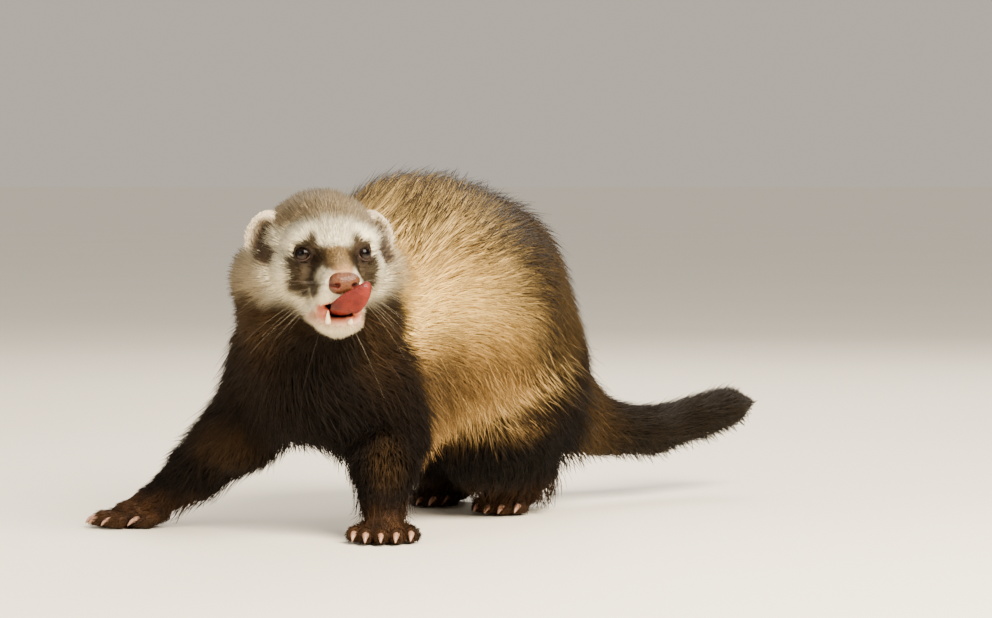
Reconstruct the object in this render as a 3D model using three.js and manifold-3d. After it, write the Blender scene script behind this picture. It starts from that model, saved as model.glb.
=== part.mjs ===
// A sable ferret, life size, as a still museum model. It stands braced on a wide-set right foreleg, with
// the back arched high behind the raised head, the hind legs gathered under the rump, the tail straight
// out and the tongue curled up past the lip. Lengths are millimetres and angles are degrees. Z is up, the
// animal faces -Y and its left side is towards +X. The solids' outside is the outside of the coat.

import * as THREE from "three";
import { mergeVertices } from "three/addons/utils/BufferGeometryUtils.js";
import Module from "manifold-3d";

const wasm = await Module();
wasm.setup();

// Driving sizes

const GAP = 0.3; // left between neighbouring pieces
const SHORTEST_EDGE = 0.6;
const SLIVER = 1e-3; // a face of less than half this many square mm has no sure direction
const LARGEST_TURN = Math.PI / 3; // that a face may make when an edge is drawn together
const EYE_RADIUS = 3.7;
const LID_RADIUS = 4.9;
const EYE_OPENING = [3.1, 3.0, 5.0];
const TOE_RADIUS = 3.9;
const CLAW_LENGTH = 7.5;
const CLAW_RADIUS = 1.5;
const SIDES = { right: -1, left: 1 };

// The long coat: a core inside the outline by its rise, and locks that climb from the core past the
// outline by their tips' lift. A lock's half width and crest are those at its widest ring, and its length
// is that of its root and so many times its climb.
const COAT_RISE = 4.2;
const TAIL_RISE = 3;
const LOCK = {
  spacing: 19.5,
  halfWidth: 8.6,
  crest: 1.1,
  tipLift: [0.3, 2.8],
  root: 9,
  reach: 4.8,
  size: [0.85, 1.15],
};
const LOCK_TRIES = 12000;
const LOCK_SEED = 7;

// The head's own frame: its origin lies between the ears, and its x, y and z point to the animal's left,
// its back and its crown.
const HEAD = { at: [-73.5, 10, 119], yaw: 14.5, pitch: -1 };

// Stations of each run of flesh, with the coat's outer radius at each. The spine runs from the root of
// the tail to the breast, and each leg from the shoulder or hip to the wrist or hock.
const SPINE = [
  { at: [26, 157, 48], radius: 21 },
  { at: [1, 138, 76], radius: 37.5 },
  { at: [-14, 110, 100], radius: 43.5 },
  { at: [-36, 88, 109], radius: 42.5 },
  { at: [-54, 68, 99], radius: 36.5 },
  { at: [-67, 47, 84], radius: 37 },
  { at: [-76, 31, 74], radius: 32 },
];
const BELLY = [
  { at: [-24, 96, 74], radius: 36 },
  { at: [-58, 58, 68], radius: 31 },
];
const NECK = [
  { at: [-76, 35, 84], radius: 34 },
  { at: [-75, 22, 103], radius: 32 },
];
const TAIL = [
  { at: [26, 157, 48], radius: 20 },
  { at: [50, 177, 36], radius: 13.5 },
  { at: [75, 196, 32.5], radius: 12 },
  { at: [99, 216, 38], radius: 10.5 },
  { at: [115, 230, 41.5], radius: 8 },
  { at: [126, 240, 43], radius: 2.5 },
];
const LEGS = {
  fore_right: [
    { at: [-94, 46, 70], radius: 23 },
    { at: [-113, 54, 44], radius: 16 },
    { at: [-132, 63, 25], radius: 10.8 },
    { at: [-150, 70, 12], radius: 8 },
  ],
  fore_left: [
    { at: [-53, 40, 70], radius: 24 },
    { at: [-47, 42, 46], radius: 17.5 },
    { at: [-48, 26, 31], radius: 12.5 },
    { at: [-48, 15, 17], radius: 10 },
  ],
  hind_right: [
    { at: [-14, 150, 62], radius: 26 },
    { at: [-35, 131, 36], radius: 20.5 },
    { at: [-21, 164, 22], radius: 14 },
    { at: [-19, 172, 12], radius: 9.5 },
  ],
  hind_left: [
    { at: [14, 127, 62], radius: 26 },
    { at: [-2, 106, 35], radius: 22 },
    { at: [13, 138, 22], radius: 15.5 },
    { at: [11, 142, 12], radius: 9.5 },
  ],
};

// Each paw points along its heading from the spot on the floor under the wrist or heel. Its sole runs
// from the heel to the ball, and each toe's tip is given as [forward, outward], from the inner toe on.
const PAWS = {
  forepaw_right: {
    at: [-152, 71],
    heading: 198,
    side: SIDES.right,
    sole: [2, 12],
    toes: [[7, -11], [19, -8.5], [23.5, -2.5], [23.5, 4], [17, 10.5]],
  },
  forepaw_left: {
    at: [-47.5, 15],
    heading: 269,
    side: SIDES.left,
    sole: [0, 8],
    toes: [[11, -12], [16.5, -7], [18, -0.5], [16.5, 6], [11, 12]],
  },
  hind_foot_right: {
    at: [-19, 174],
    heading: 240,
    side: SIDES.right,
    sole: [-3, 21],
    toes: [[22, -9.5], [29, -6.5], [31.5, -1], [30.5, 5], [25, 10]],
  },
  hind_foot_left: {
    at: [11.5, 141],
    heading: 245,
    side: SIDES.left,
    sole: [-3, 21],
    toes: [[23, -10.5], [29, -7], [31.5, -1], [30.5, 5.5], [25, 11]],
  },
};

// Sums on points [x, y, z]

const add = (a, b, t = 1) => [a[0] + b[0] * t, a[1] + b[1] * t, a[2] + b[2] * t];
const dot = (a, b) => a[0] * b[0] + a[1] * b[1] + a[2] * b[2];
const distance = (a, b) => Math.hypot(a[0] - b[0], a[1] - b[1], a[2] - b[2]);
const radians = (degrees) => (degrees * Math.PI) / 180;
const mirrored = (side, [x, y, z]) => [x * side, y, z];

// Fields: each gives the distance from a point to a surface, negative inside

function taper(a, b, ra, rb) {
  const ab = add(b, a, -1);
  const lengthSquared = dot(ab, ab);
  return (p) => {
    const along = dot(add(p, a, -1), ab) / lengthSquared;
    const t = Math.min(Math.max(along, 0), 1);
    return distance(p, add(a, ab, t)) - (ra + (rb - ra) * t);
  };
}

function egg(centre, radii) {
  return (p) => {
    const q = add(p, centre, -1);
    const scaled = Math.hypot(q[0] / radii[0], q[1] / radii[1], q[2] / radii[2]);
    const slope = Math.hypot(q[0] / radii[0] ** 2, q[1] / radii[1] ** 2, q[2] / radii[2] ** 2);
    return slope > 0 ? (scaled * (scaled - 1)) / slope : -Math.min(...radii);
  };
}

function smoothMin(a, b, width) {
  const h = Math.max(width - Math.abs(a - b), 0) / width;
  return Math.min(a, b) - (h * h * width) / 4;
}

const blend = (width, fields) => (p) =>
  fields.map((field) => field(p)).reduce((a, b) => smoothMin(a, b, width));

const carve = (width, field, hollow) => (p) => -smoothMin(-field(p), hollow(p), width);

const chain = (stations) =>
  stations.slice(1).map(({ at, radius }, i) => taper(stations[i].at, at, stations[i].radius, radius));

// Frames: a matrix places a piece's own coordinates in the whole animal's

function frameOf({ at, yaw, pitch = 0 }) {
  const turn = new THREE.Euler(radians(pitch), 0, radians(yaw), "ZYX");
  return new THREE.Matrix4().makeRotationFromEuler(turn).setPosition(...at);
}

function frameAlong(at, from, way) {
  const turn = new THREE.Quaternion().setFromUnitVectors(
    new THREE.Vector3(...from),
    new THREE.Vector3(...way).normalize(),
  );
  return new THREE.Matrix4().makeRotationFromQuaternion(turn).setPosition(...at);
}

function inFrame(frame, field) {
  const m = frame.clone().invert().elements;
  const row = (p, i) => m[i] * p[0] + m[4 + i] * p[1] + m[8 + i] * p[2] + m[12 + i];
  return (p) => field([row(p, 0), row(p, 1), row(p, 2)]);
}

const placed = (frame, p) => new THREE.Vector3(...p).applyMatrix4(frame).toArray();
const turned = (frame, way) => new THREE.Vector3(...way).transformDirection(frame).toArray();

const WORLD = new THREE.Matrix4();
const headFrame = frameOf(HEAD);
const pawFrame = ({ at, heading }) => frameOf({ at: [...at, 0], yaw: heading });

// The head's shape, in its own frame

const EYE_AT = [12.2, -22.4, 3.6];
const EYE_LOOK = [0.53, -0.84, 0.1];
const EAR_AT = [23.6, 2, 10];
const EAR_FACING = [0.55, -0.8, 0.12];
const EAR_UP = [-0.22, 0.1, 0.97];
const NOSE_AT = [0, -45.2, -8.4];
const MOUTH_AT = [0, -35, -19.2];

const skull = blend(6, [
  egg([0, 4, 5.5], [23.2, 27, 23.3]), // cranium
  egg([0, -13, 6], [16.5, 16, 12]), // forehead
  taper([0, -16, -6], [0, -37, -9.5], 13.5, 8.6), // muzzle
  taper([0, -18, 5], [0, -40, -4.5], 8.5, 5.2), // bridge of the nose
  egg([0, -5, -15], [15, 20, 11]), // throat
  ...Object.values(SIDES).flatMap((side) => [
    egg(mirrored(side, [17, 6, -7]), [17, 20, 16]), // cheek
    egg(mirrored(side, [14, -15, -4]), [8, 9, 8]), // cheekbone
    egg(mirrored(side, [5.4, -36.5, -12.4]), [6.6, 7.6, 5.2]), // whisker pad
    egg(mirrored(side, [11, -19.5, 9]), [6, 6.5, 4.5]), // brow
  ]),
]);
const jaw = blend(4, [
  taper([0, -8, -18], [0, -31, -24.4], 12, 5.4),
  egg([0, -33.5, -25], [9.4, 7.6, 4.8]), // chin
]);
const mouth = egg(MOUTH_AT, [8.2, 15.5, 3.3]);
const headField = carve(1.5, blend(4, [skull, jaw]), mouth);

// The whole body, without its toes

function soleField(paw) {
  const [heel, ball] = paw.sole;
  const pad = blend(3, [
    taper([heel, 0, 9], [ball, 0, 5.4], 7.6, 6.4),
    taper([ball, -4, 4.6], [ball, 4, 4.6], 5.8, 5.8),
  ]);
  return inFrame(pawFrame(paw), pad);
}

const trunk = blend(14, [...chain(SPINE), ...chain(NECK), ...chain(BELLY)]);
const limbs = Object.values(LEGS).map((stations) => blend(5, chain(stations)));
const tail = blend(4, chain(TAIL));
const body = [...limbs, tail].reduce((field, limb) => blend(12, [field, limb]), trunk);
const head = inFrame(headFrame, headField);
const ferret = blend(5, [body, head, ...Object.values(PAWS).map(soleField)]);

// The long coat. A ramp climbs from 0 to 1 between two values.
function ramp(value, from, to) {
  const t = Math.min(Math.max((value - from) / (to - from), 0), 1);
  return t * t * (3 - 2 * t);
}

// How far the core lies inside the outline: not at all on the head, lower legs, paws and tip of the tail,
// and less on the tail than on the trunk
const TAILWARDS = [0.76, 0.64, 0];
function rise(p) {
  const tailwards = dot(p, TAILWARDS);
  const onTrunk = ramp(p[2], 34, 60) * ramp(head(p), 3, 18);
  const onTail = ramp(tailwards, 100, 125);
  const beforeTip = 1 - ramp(tailwards, 212, 236);
  return COAT_RISE * onTrunk * (1 - onTail) + TAIL_RISE * onTail * beforeTip;
}
const core = (p) => ferret(p) + rise(p);

// The lie of the coat: from the head down the neck and back to the tail's tip, and down each leg, with the
// nearest runs of flesh counting most
const backwards = (stations) => [...stations].reverse();
const RUNS = [backwards(NECK), backwards(SPINE), backwards(BELLY), TAIL, ...Object.values(LEGS)];
const LIE_BLEND = 7;
const strands = RUNS.flatMap((stations) =>
  chain(stations).map((field, i) => ({ field, way: add(stations[i + 1].at, stations[i].at, -1) })),
);
function lie(p) {
  const pulls = strands.map(({ field, way }) => {
    const unit = add([0, 0, 0], way, 1 / Math.hypot(...way));
    return add([0, 0, 0], unit, Math.exp(-field(p) / LIE_BLEND));
  });
  const way = pulls.reduce((sum, pull) => add(sum, pull), [0, 0, 0]);
  return add([0, 0, 0], way, 1 / Math.hypot(...way));
}

// Meshing a field

// The marks of a ruler, for stretches given as [from, to, step]
const ruler = (...stretches) =>
  stretches.flatMap(([from, to, step], i) => {
    const count = Math.round((to - from) / step);
    const marks = Array.from({ length: count + 1 }, (_, k) => from + ((to - from) * k) / count);
    return i ? marks.slice(1) : marks;
  });

// The way in which a field grows fastest, and how fast
function slopeOf(field, point) {
  const probe = 0.25;
  const value = field(point);
  return [0, 1, 2].map((axis) => {
    const ahead = [...point];
    ahead[axis] += probe;
    return (field(ahead) - value) / probe;
  });
}

// Moves a point along the field's slope to its zero, by no more than the limit at each pass
function settle(field, start, limit) {
  let point = start;
  for (let pass = 0; pass < 2; pass++) {
    const slope = slopeOf(field, point);
    const step = -field(point) / (dot(slope, slope) || 1);
    point = add(point, slope, Math.min(Math.max(step, -limit), limit));
  }
  return point;
}

const CORNERS = [0, 1, 2, 3, 4, 5, 6, 7].map((c) => [c & 1, (c >> 1) & 1, c >> 2]);
const EDGES = CORNERS.flatMap((corner, c) =>
  [0, 1, 2].filter((axis) => !corner[axis]).map((axis) => [c, c | (1 << axis)]),
);

// Surface nets: a vertex in each cell of the grid that the surface crosses, and two triangles across each
// edge of the grid that it crosses. The grid's outermost marks count as outside, which closes the mesh.
function netOf(field, frame, [xs, ys, zs]) {
  const stride = [1, xs.length, xs.length * ys.length];
  const index = (i, j, k) => i + j * stride[1] + k * stride[2];
  const rim = (i, marks) => i === 0 || i === marks.length - 1;
  const values = zs.flatMap((z, k) =>
    ys.flatMap((y, j) =>
      xs.map((x, i) => {
        const value = field(placed(frame, [x, y, z]));
        return rim(i, xs) || rim(j, ys) || rim(k, zs) ? Math.max(value, 0.5) : value;
      }),
    ),
  );

  const vertices = [];
  const vertexOf = new Map();
  const cells = [];
  for (let k = 0; k < zs.length - 1; k++)
    for (let j = 0; j < ys.length - 1; j++)
      for (let i = 0; i < xs.length - 1; i++) cells.push([i, j, k]);

  for (const [i, j, k] of cells) {
    const v = CORNERS.map(([a, b, c]) => values[index(i + a, j + b, k + c)]);
    const crossed = EDGES.filter(([a, b]) => v[a] > 0 !== v[b] > 0);
    if (!crossed.length) continue;
    const at = CORNERS.map(([a, b, c]) => [xs[i + a], ys[j + b], zs[k + c]]);
    const hits = crossed.map(([a, b]) => add(at[a], add(at[b], at[a], -1), v[a] / (v[a] - v[b])));
    const mean = hits.reduce((sum, hit) => add(sum, hit, 1 / hits.length), [0, 0, 0]);
    const limit = 0.4 * Math.min(...[0, 1, 2].map((axis) => at[7][axis] - at[0][axis]));
    vertexOf.set(index(i, j, k), vertices.length);
    vertices.push(settle(field, placed(frame, mean), limit));
  }

  const triangles = [];
  for (const [i, j, k] of cells)
    for (const axis of [0, 1, 2]) {
      const here = index(i, j, k);
      const inside = values[here] <= 0;
      if (inside === values[here + stride[axis]] <= 0) continue;
      const u = stride[(axis + 1) % 3];
      const w = stride[(axis + 2) % 3];
      const [a, b, c, d] = [here, here - u, here - u - w, here - w].map((cell) => vertexOf.get(cell));
      const quad = inside ? [a, b, c, d] : [d, c, b, a];
      const [p, q, r, s] = quad.map((n) => vertices[n]);
      const split = distance(p, r) < distance(q, s) ? [0, 1, 2, 0, 2, 3] : [0, 1, 3, 1, 2, 3];
      triangles.push(...split.map((n) => quad[n]));
    }
  return solidFrom(vertices.flat(), triangles);
}

// Solids

const solidFrom = (positions, triangles) =>
  new wasm.Manifold(
    new wasm.Mesh({
      numProp: 3,
      vertProperties: new Float32Array(positions),
      triVerts: new Uint32Array(triangles),
    }),
  );

function solidOf(geometry, frame = WORLD) {
  const bare = new THREE.BufferGeometry();
  bare.setAttribute("position", geometry.getAttribute("position").clone());
  bare.setIndex(geometry.index);
  const merged = mergeVertices(bare.applyMatrix4(frame), 1e-4);
  return solidFrom(merged.attributes.position.array, merged.index.array);
}

// A ball or an egg at a point, with its third radius along the way that it looks
function ball(at, radii, look = [0, 0, 1]) {
  const own = frameAlong(at, [0, 0, 1], look).scale(new THREE.Vector3(...radii));
  return new THREE.SphereGeometry(1, 14, 9).applyMatrix4(own);
}

// A sweep through stations, each an oval ring with half its width, half its thickness and the direction
// that the width lies across. Growth widens every ring.
function sweep(stations, sides, growth = 0) {
  const corners = stations.flatMap(({ at, wide, thick, across }, i) => {
    const before = stations[Math.max(i - 1, 0)].at;
    const after = stations[Math.min(i + 1, stations.length - 1)].at;
    const along = new THREE.Vector3(...add(after, before, -1)).normalize();
    const width = new THREE.Vector3(...across).projectOnPlane(along).normalize();
    const out = along.clone().cross(width);
    return Array.from({ length: sides }, (_, k) => {
      const turn = (2 * Math.PI * k) / sides;
      const rim = add(at, width.toArray(), (wide + growth) * Math.cos(turn));
      return add(rim, out.toArray(), (thick + growth) * Math.sin(turn));
    });
  });
  const last = (stations.length - 1) * sides;
  const faces = [];
  for (let ring = 0; ring < last; ring += sides)
    for (let k = 0; k < sides; k++) {
      const next = (k + 1) % sides;
      faces.push(ring + k, ring + next, ring + sides + next);
      faces.push(ring + k, ring + sides + next, ring + sides + k);
    }
  for (let k = 2; k < sides; k++) {
    faces.push(0, k, k - 1);
    faces.push(last, last + k - 1, last + k);
  }
  const geometry = new THREE.BufferGeometry();
  geometry.setAttribute("position", new THREE.Float32BufferAttribute(corners.flat(), 3));
  return geometry.setIndex(faces);
}

const ring = (at, radius, across) => ({ at, wide: radius, thick: radius, across });

// Everything behind a plane, given as a point on it and the way that it faces
function behind([at, facing], shift) {
  const size = 700;
  const frame = frameAlong(at, [0, 0, 1], facing);
  const block = new THREE.BoxGeometry(size, size, size).translate(0, 0, shift - size / 2);
  return solidOf(block, frame);
}

// The room inside flat cuts
const roomOf = (cuts, growth = 0) =>
  cuts.map((plane) => behind(plane, growth)).reduce((a, b) => a.intersect(b));

// A solid's mesh without its short edges: joins and cuts leave slivers, and each is drawn together to one
// of its ends where that keeps the mesh closed and turns no face over.
function cleanMesh(solid) {
  const { vertProperties, triVerts } = solid.getMesh();
  const triple = (list, n) => [...list.subarray(n * 3, n * 3 + 3)];
  const threes = (list) => Array.from({ length: list.length / 3 }, (_, n) => triple(list, n));
  const points = threes(vertProperties);
  const faces = threes(triVerts);
  const facesOf = points.map(() => new Set());
  faces.forEach((face, n) => face.forEach((v) => facesOf[v].add(n)));

  const neighbours = (v) => new Set([...facesOf[v]].flatMap((n) => faces[n]).filter((w) => w !== v));
  const normal = (face) => {
    const [a, b, c] = face.map((v) => new THREE.Vector3(...points[v]));
    return b.sub(a).cross(c.sub(a));
  };
  const moved = (face, from, to) => face.map((v) => (v === from ? to : v));
  const canDraw = (from, to) => {
    const near = neighbours(to);
    if ([...neighbours(from)].filter((v) => near.has(v)).length !== 2) return false;
    const kept = [...facesOf[from]].filter((n) => !faces[n].includes(to));
    return kept.every((n) => {
      const before = normal(faces[n]);
      const after = normal(moved(faces[n], from, to));
      if (after.length() < SLIVER) return false;
      return before.length() < SLIVER || before.angleTo(after) < LARGEST_TURN;
    });
  };
  const draw = (from, to) => {
    for (const n of facesOf[from]) {
      if (faces[n].includes(to)) {
        faces[n].forEach((v) => v !== from && facesOf[v].delete(n));
        faces[n] = null;
      } else {
        faces[n] = moved(faces[n], from, to);
        facesOf[to].add(n);
      }
    }
    facesOf[from].clear();
  };

  let drawn = true;
  while (drawn) {
    drawn = false;
    for (let n = 0; n < faces.length; n++)
      for (let corner = 0; corner < 3 && faces[n]; corner++) {
        const ends = [faces[n][corner], faces[n][(corner + 1) % 3]];
        if (distance(points[ends[0]], points[ends[1]]) > SHORTEST_EDGE) continue;
        const way = [ends, [...ends].reverse()].find(([from, to]) => canDraw(from, to));
        if (!way) continue;
        draw(...way);
        drawn = true;
      }
  }
  return { points, faces: faces.filter(Boolean) };
}

const largest = (solid) => solid.decompose().sort((a, b) => b.volume() - a.volume())[0];

// The piece of a solid that holds a seed
function pieceAt(solid, seed) {
  const bead = solidOf(ball(seed, [1, 1, 1]));
  return solid.decompose().find((piece) => piece.intersect(bead).volume() > 0.5);
}

// The cuts that bound the flesh's pieces, each facing out of the piece that names it first

const flipped = ([at, facing]) => [at, facing.map((c) => -c)];
const headCut = (at, facing) => [placed(headFrame, at), turned(headFrame, facing)];

const CUT = {
  wrist_right: [[-149, 69, 15.5], [0.75, -0.3, 0.6]],
  elbow_right: [[-120, 55, 43], [0.74, -0.3, 0.6]],
  shoulder_right: [[-93, 46, 63], [0.8, -0.08, 0.6]],
  armpit_right: [[-78, 0, 0], [1, 0, 0]],
  wrist_left: [[-48, 15, 16.5], [0, 0.12, 1]],
  elbow_left: [[-48, 36, 42], [0, 0.3, 0.95]],
  shoulder_left: [[-58, 41, 64], [-0.8, 0.05, 0.6]],
  shoulder_top: [[-40, 40, 84], [0.3, 0, 1]],
  shoulder_back: [[-40, 63, 60], [0.35, 0.9, 0.25]],
  armpit_left: [[-68, 0, 0], [-1, 0, 0]],
  forequarters: [[0, 62, 0], [0, 1, 0]],
  hock_left: [[5, 120, 14.5], [-0.14, -0.14, 0.98]],
  hock_right: [[-27, 158, 14.5], [-0.12, -0.16, 0.98]],
  hip_left: [[8, 122, 62], [-0.4, 0.35, 0.85]],
  hip_right: [[-8, 143, 62], [0.45, -0.3, 0.85]],
  midline: [[-11, 138, 60], [0.88, -0.47, 0]],
  flank: [[-30, 94.5, 50], [-0.6, -0.8, 0]],
  tail_root: [[36, 164, 44], [0.76, 0.6, -0.25]],
  tail_middle: [[84, 203, 34], [0.76, 0.64, 0.1]],
  lips: headCut([0, -35, -19.2], [0, 0.06, 1]),
  jaw_hinge: headCut([0, -18, -24], [0, 1, -0.3]),
  under_jaw: headCut([0, -22, -32.5], [0, 0.3, -0.95]),
  before_eyes: headCut([0, -28.6, 0], [0, 1, 0.15]),
  throat: headCut([0, -22, -35], [0, 0.12, -0.99]),
  nape: headCut([0, 17, -5], [0, 0.93, -0.37]),
  collar: [[-76, 34, 82], [0.05, -0.3, -0.95]],
  shoulders: [[-60, 60, 92], [0.45, 0.85, 0.25]],
  loin: [[-6, 124, 88], [0.42, 0.7, -0.58]],
};

// A grid in a box round a point
const boxGrid = (centre, reach, step) => ({
  frame: WORLD,
  grid: centre.map((c) => ruler([c - reach, c + reach, step])),
});

// A grid along a limb, with a longer step that way
function limbGrid(from, to, reach, step, stride) {
  const across = ruler([-reach, reach, step]);
  return {
    frame: frameAlong(from, [0, 0, 1], add(to, from, -1)),
    grid: [across, across, ruler([-reach, distance(from, to) + reach, stride])],
  };
}

const soleGrid = (paw) => ({
  frame: pawFrame(paw),
  grid: [ruler([-14, paw.sole[1] + 11, 4.6]), ruler([-13.5, 13.5, 3.9]), ruler([-4, 26, 4.6])],
});

const FACE = {
  frame: headFrame,
  grid: [ruler([-24, 24, 2.8]), ruler([-50, -8, 2.8]), ruler([-44, 12, 2.8])],
};
const HEAD_GRID = {
  frame: headFrame,
  grid: [ruler([-42, 42, 4.6]), ruler([-38, -12, 4], [-12, 44, 5.6]), ruler([-46, 36, 4.6])],
};

// The toes and claws of a paw, each claw sunk in the end of its toe
function digits(paw) {
  const across = [0, 1, 0];
  return paw.toes.flatMap(([forward, outward]) => {
    const y = outward * paw.side;
    const toe = [
      ring([forward - 9, y * 0.75, 5.4], TOE_RADIUS * 0.85, across),
      ring([forward - 1, y, 3.7], TOE_RADIUS, across),
      ring([forward + TOE_RADIUS * 0.7, y, 2.9], TOE_RADIUS * 0.6, across),
    ];
    const from = forward + TOE_RADIUS - CLAW_LENGTH / 2;
    const claw = [
      ring([from, y, 4], CLAW_RADIUS, across),
      ring([from + CLAW_LENGTH * 0.55, y, 4.4], CLAW_RADIUS, across),
      ring([from + CLAW_LENGTH, y, 1.2], 0.35, across),
    ];
    return [sweep(toe, 7), sweep(claw, 5)].map((geometry) => solidOf(geometry, pawFrame(paw)));
  });
}

// Locks. Each runs along the lie from a root sunk in the core to a tip at or past the outline. Its rings
// have three corners, a crest that points out of the coat and an edge on either side, and give how far the
// lock has climbed from the core, 0, to its tip, 1, with its shares of the full width and crest.
const LOCK_RINGS = [
  { climb: -0.35, width: 0.75, crest: 1 },
  { climb: 0.12, width: 1, crest: 1 },
  { climb: 0.5, width: 0.8, crest: 0.85 },
  { climb: 0.85, width: 0.4, crest: 0.6 },
  { climb: 1, width: 0.06, crest: 0.25 },
];
const LOCK_CORNERS = 3;

function randomFrom(seed) {
  let state = seed;
  return () => {
    state = (state * 1664525 + 1013904223) % 4294967296;
    return state / 4294967296;
  };
}
const random = randomFrom(LOCK_SEED);
const between = ([low, high]) => low + (high - low) * random();

// Roots spread evenly over the core wherever the coat is long
function lockRoots() {
  const reach = COAT_RISE * 2;
  const roots = [];
  for (let n = 0; n < LOCK_TRIES; n++) {
    const spot = [between([-130, 140]), between([0, 260]), between([20, 160])];
    if (Math.abs(core(spot)) > reach) continue;
    const root = settle(core, spot, reach);
    const bare = rise(root) < TAIL_RISE / 2 || Math.abs(core(root)) > GAP;
    if (bare || roots.some((other) => distance(other, root) < LOCK.spacing)) continue;
    roots.push(root);
  }
  return roots;
}

function lockAt(root) {
  const size = between(LOCK.size);
  const lift = between(LOCK.tipLift);
  const climbAll = rise(root) + lift;
  const stride = (climbAll * LOCK.reach + LOCK.root) / (LOCK_RINGS.length - 1);
  let at = root;
  const stations = LOCK_RINGS.map(({ climb, width, crest }, i) => {
    if (i) at = add(at, lie(at), stride * size);
    const level = (p) => core(p) - climb * climbAll;
    at = settle(level, at, stride);
    const wide = LOCK.crest * crest;
    return { at, wide, thick: LOCK.halfWidth * width * size, across: slopeOf(ferret, at) };
  });
  return solidOf(sweep(stations, LOCK_CORNERS));
}
const locks = lockRoots().map(lockAt);

// The flesh, in the order in which its pieces are parted from the whole. Each has the cuts that bound it,
// a seed inside it, its grid, and what grows on it. A lock that two pieces share is cut with them.
const { fore_right, fore_left } = LEGS;
const FLESH = [
  {
    name: "forepaw_right",
    cuts: [CUT.wrist_right],
    seed: [-160, 69, 5],
    ...soleGrid(PAWS.forepaw_right),
    grown: digits(PAWS.forepaw_right),
  },
  {
    name: "forearm_right",
    cuts: [CUT.elbow_right],
    seed: fore_right[2].at,
    ...limbGrid(fore_right[1].at, fore_right[3].at, 24, 4.6, 7),
  },
  {
    name: "upper_arm_right",
    cuts: [CUT.shoulder_right, CUT.armpit_right],
    seed: [-110, 50, 54],
    ...boxGrid([-108, 48, 58], 40, 6.5),
    grown: locks,
  },
  {
    name: "forepaw_left",
    cuts: [CUT.wrist_left, CUT.forequarters],
    seed: [-48, 5, 5],
    ...soleGrid(PAWS.forepaw_left),
    grown: digits(PAWS.forepaw_left),
  },
  {
    name: "forearm_left",
    cuts: [CUT.elbow_left, CUT.armpit_left, CUT.forequarters],
    seed: fore_left[2].at,
    ...limbGrid(fore_left[1].at, fore_left[3].at, 26, 4.8, 7),
  },
  {
    name: "upper_arm_left",
    cuts: [CUT.shoulder_left, CUT.shoulder_back, CUT.shoulder_top],
    seed: [-42, 42, 56],
    ...boxGrid([-46, 42, 60], 42, 6.5),
    grown: locks,
  },
  {
    name: "hind_foot_left",
    cuts: [CUT.hock_left, flipped(CUT.midline), CUT.flank, CUT.tail_root],
    seed: [4, 124, 5],
    ...soleGrid(PAWS.hind_foot_left),
    grown: digits(PAWS.hind_foot_left),
  },
  {
    name: "hind_foot_right",
    cuts: [CUT.hock_right, CUT.midline, CUT.flank, CUT.tail_root],
    seed: [-28, 158, 5],
    ...soleGrid(PAWS.hind_foot_right),
    grown: digits(PAWS.hind_foot_right),
  },
  {
    name: "hind_leg_left",
    cuts: [CUT.hip_left, flipped(CUT.midline), CUT.flank, CUT.tail_root],
    seed: [6, 112, 40],
    ...boxGrid([10, 122, 48], 50, 8),
    grown: locks,
  },
  {
    name: "hind_leg_right",
    cuts: [CUT.hip_right, CUT.midline, CUT.flank, CUT.tail_root],
    seed: [-30, 136, 42],
    ...boxGrid([-22, 146, 48], 50, 8),
    grown: locks,
  },
  {
    name: "tail_tip",
    cuts: [flipped(CUT.tail_middle)],
    seed: TAIL[3].at,
    ...limbGrid([84, 203, 34], [124, 238, 43], 17, 4.2, 8),
    grown: locks,
  },
  {
    name: "tail_base",
    cuts: [flipped(CUT.tail_root)],
    seed: [60, 184, 36],
    ...limbGrid([45, 172, 38], [82, 202, 33], 26, 5, 8),
    grown: locks,
  },
  {
    name: "lower_jaw",
    cuts: [CUT.lips, CUT.jaw_hinge, CUT.under_jaw],
    seed: placed(headFrame, [0, -32, -26]),
    ...FACE,
  },
  {
    name: "muzzle",
    cuts: [CUT.before_eyes, CUT.under_jaw],
    seed: placed(headFrame, [0, -38, -10]),
    ...FACE,
  },
  {
    name: "head",
    cuts: [CUT.nape, CUT.throat],
    seed: placed(headFrame, [0, -5, 0]),
    ...HEAD_GRID,
  },
  {
    name: "neck",
    cuts: [CUT.shoulders, CUT.collar],
    seed: [-76, 34, 92],
    ...boxGrid([-74, 34, 90], 62, 7.5),
    grown: locks,
  },
  {
    name: "chest",
    cuts: [CUT.shoulders],
    seed: [-76, 36, 70],
    ...boxGrid([-68, 42, 66], 64, 8),
    grown: locks,
  },
  {
    name: "trunk",
    cuts: [CUT.loin],
    seed: [-30, 90, 100],
    ...boxGrid([-28, 98, 88], 80, 11),
    grown: locks,
  },
  {
    name: "rump",
    cuts: [flipped(CUT.loin)],
    seed: [6, 142, 78],
    ...boxGrid([6, 144, 72], 64, 8),
    grown: locks,
  },
];

const nodes = new Map();
const floor = solidOf(new THREE.BoxGeometry(700, 700, 40).translate(0, 100, -20));
const taken = [floor];
for (const { name, cuts, seed, frame, grid, grown = [] } of FLESH) {
  const whole = grown.reduce((solid, digit) => solid.add(digit), netOf(core, frame, grid));
  const parted = taken.reduce((solid, room) => solid.subtract(room), whole.intersect(roomOf(cuts)));
  nodes.set(name, pieceAt(parted, seed));
  taken.push(roomOf(cuts, GAP));
}

// The face

const hollow = (name, tool) => nodes.set(name, largest(nodes.get(name).subtract(tool)));
const join = (name, solid) => nodes.set(name, nodes.get(name).add(solid));
const inHead = (geometry) => solidOf(geometry, headFrame);
const swollen = (field) => (p) => field(p) - GAP;
const swollenFace = netOf(swollen(core), FACE.frame, FACE.grid);
const swollenHead = netOf(swollen(core), HEAD_GRID.frame, HEAD_GRID.grid);

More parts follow.
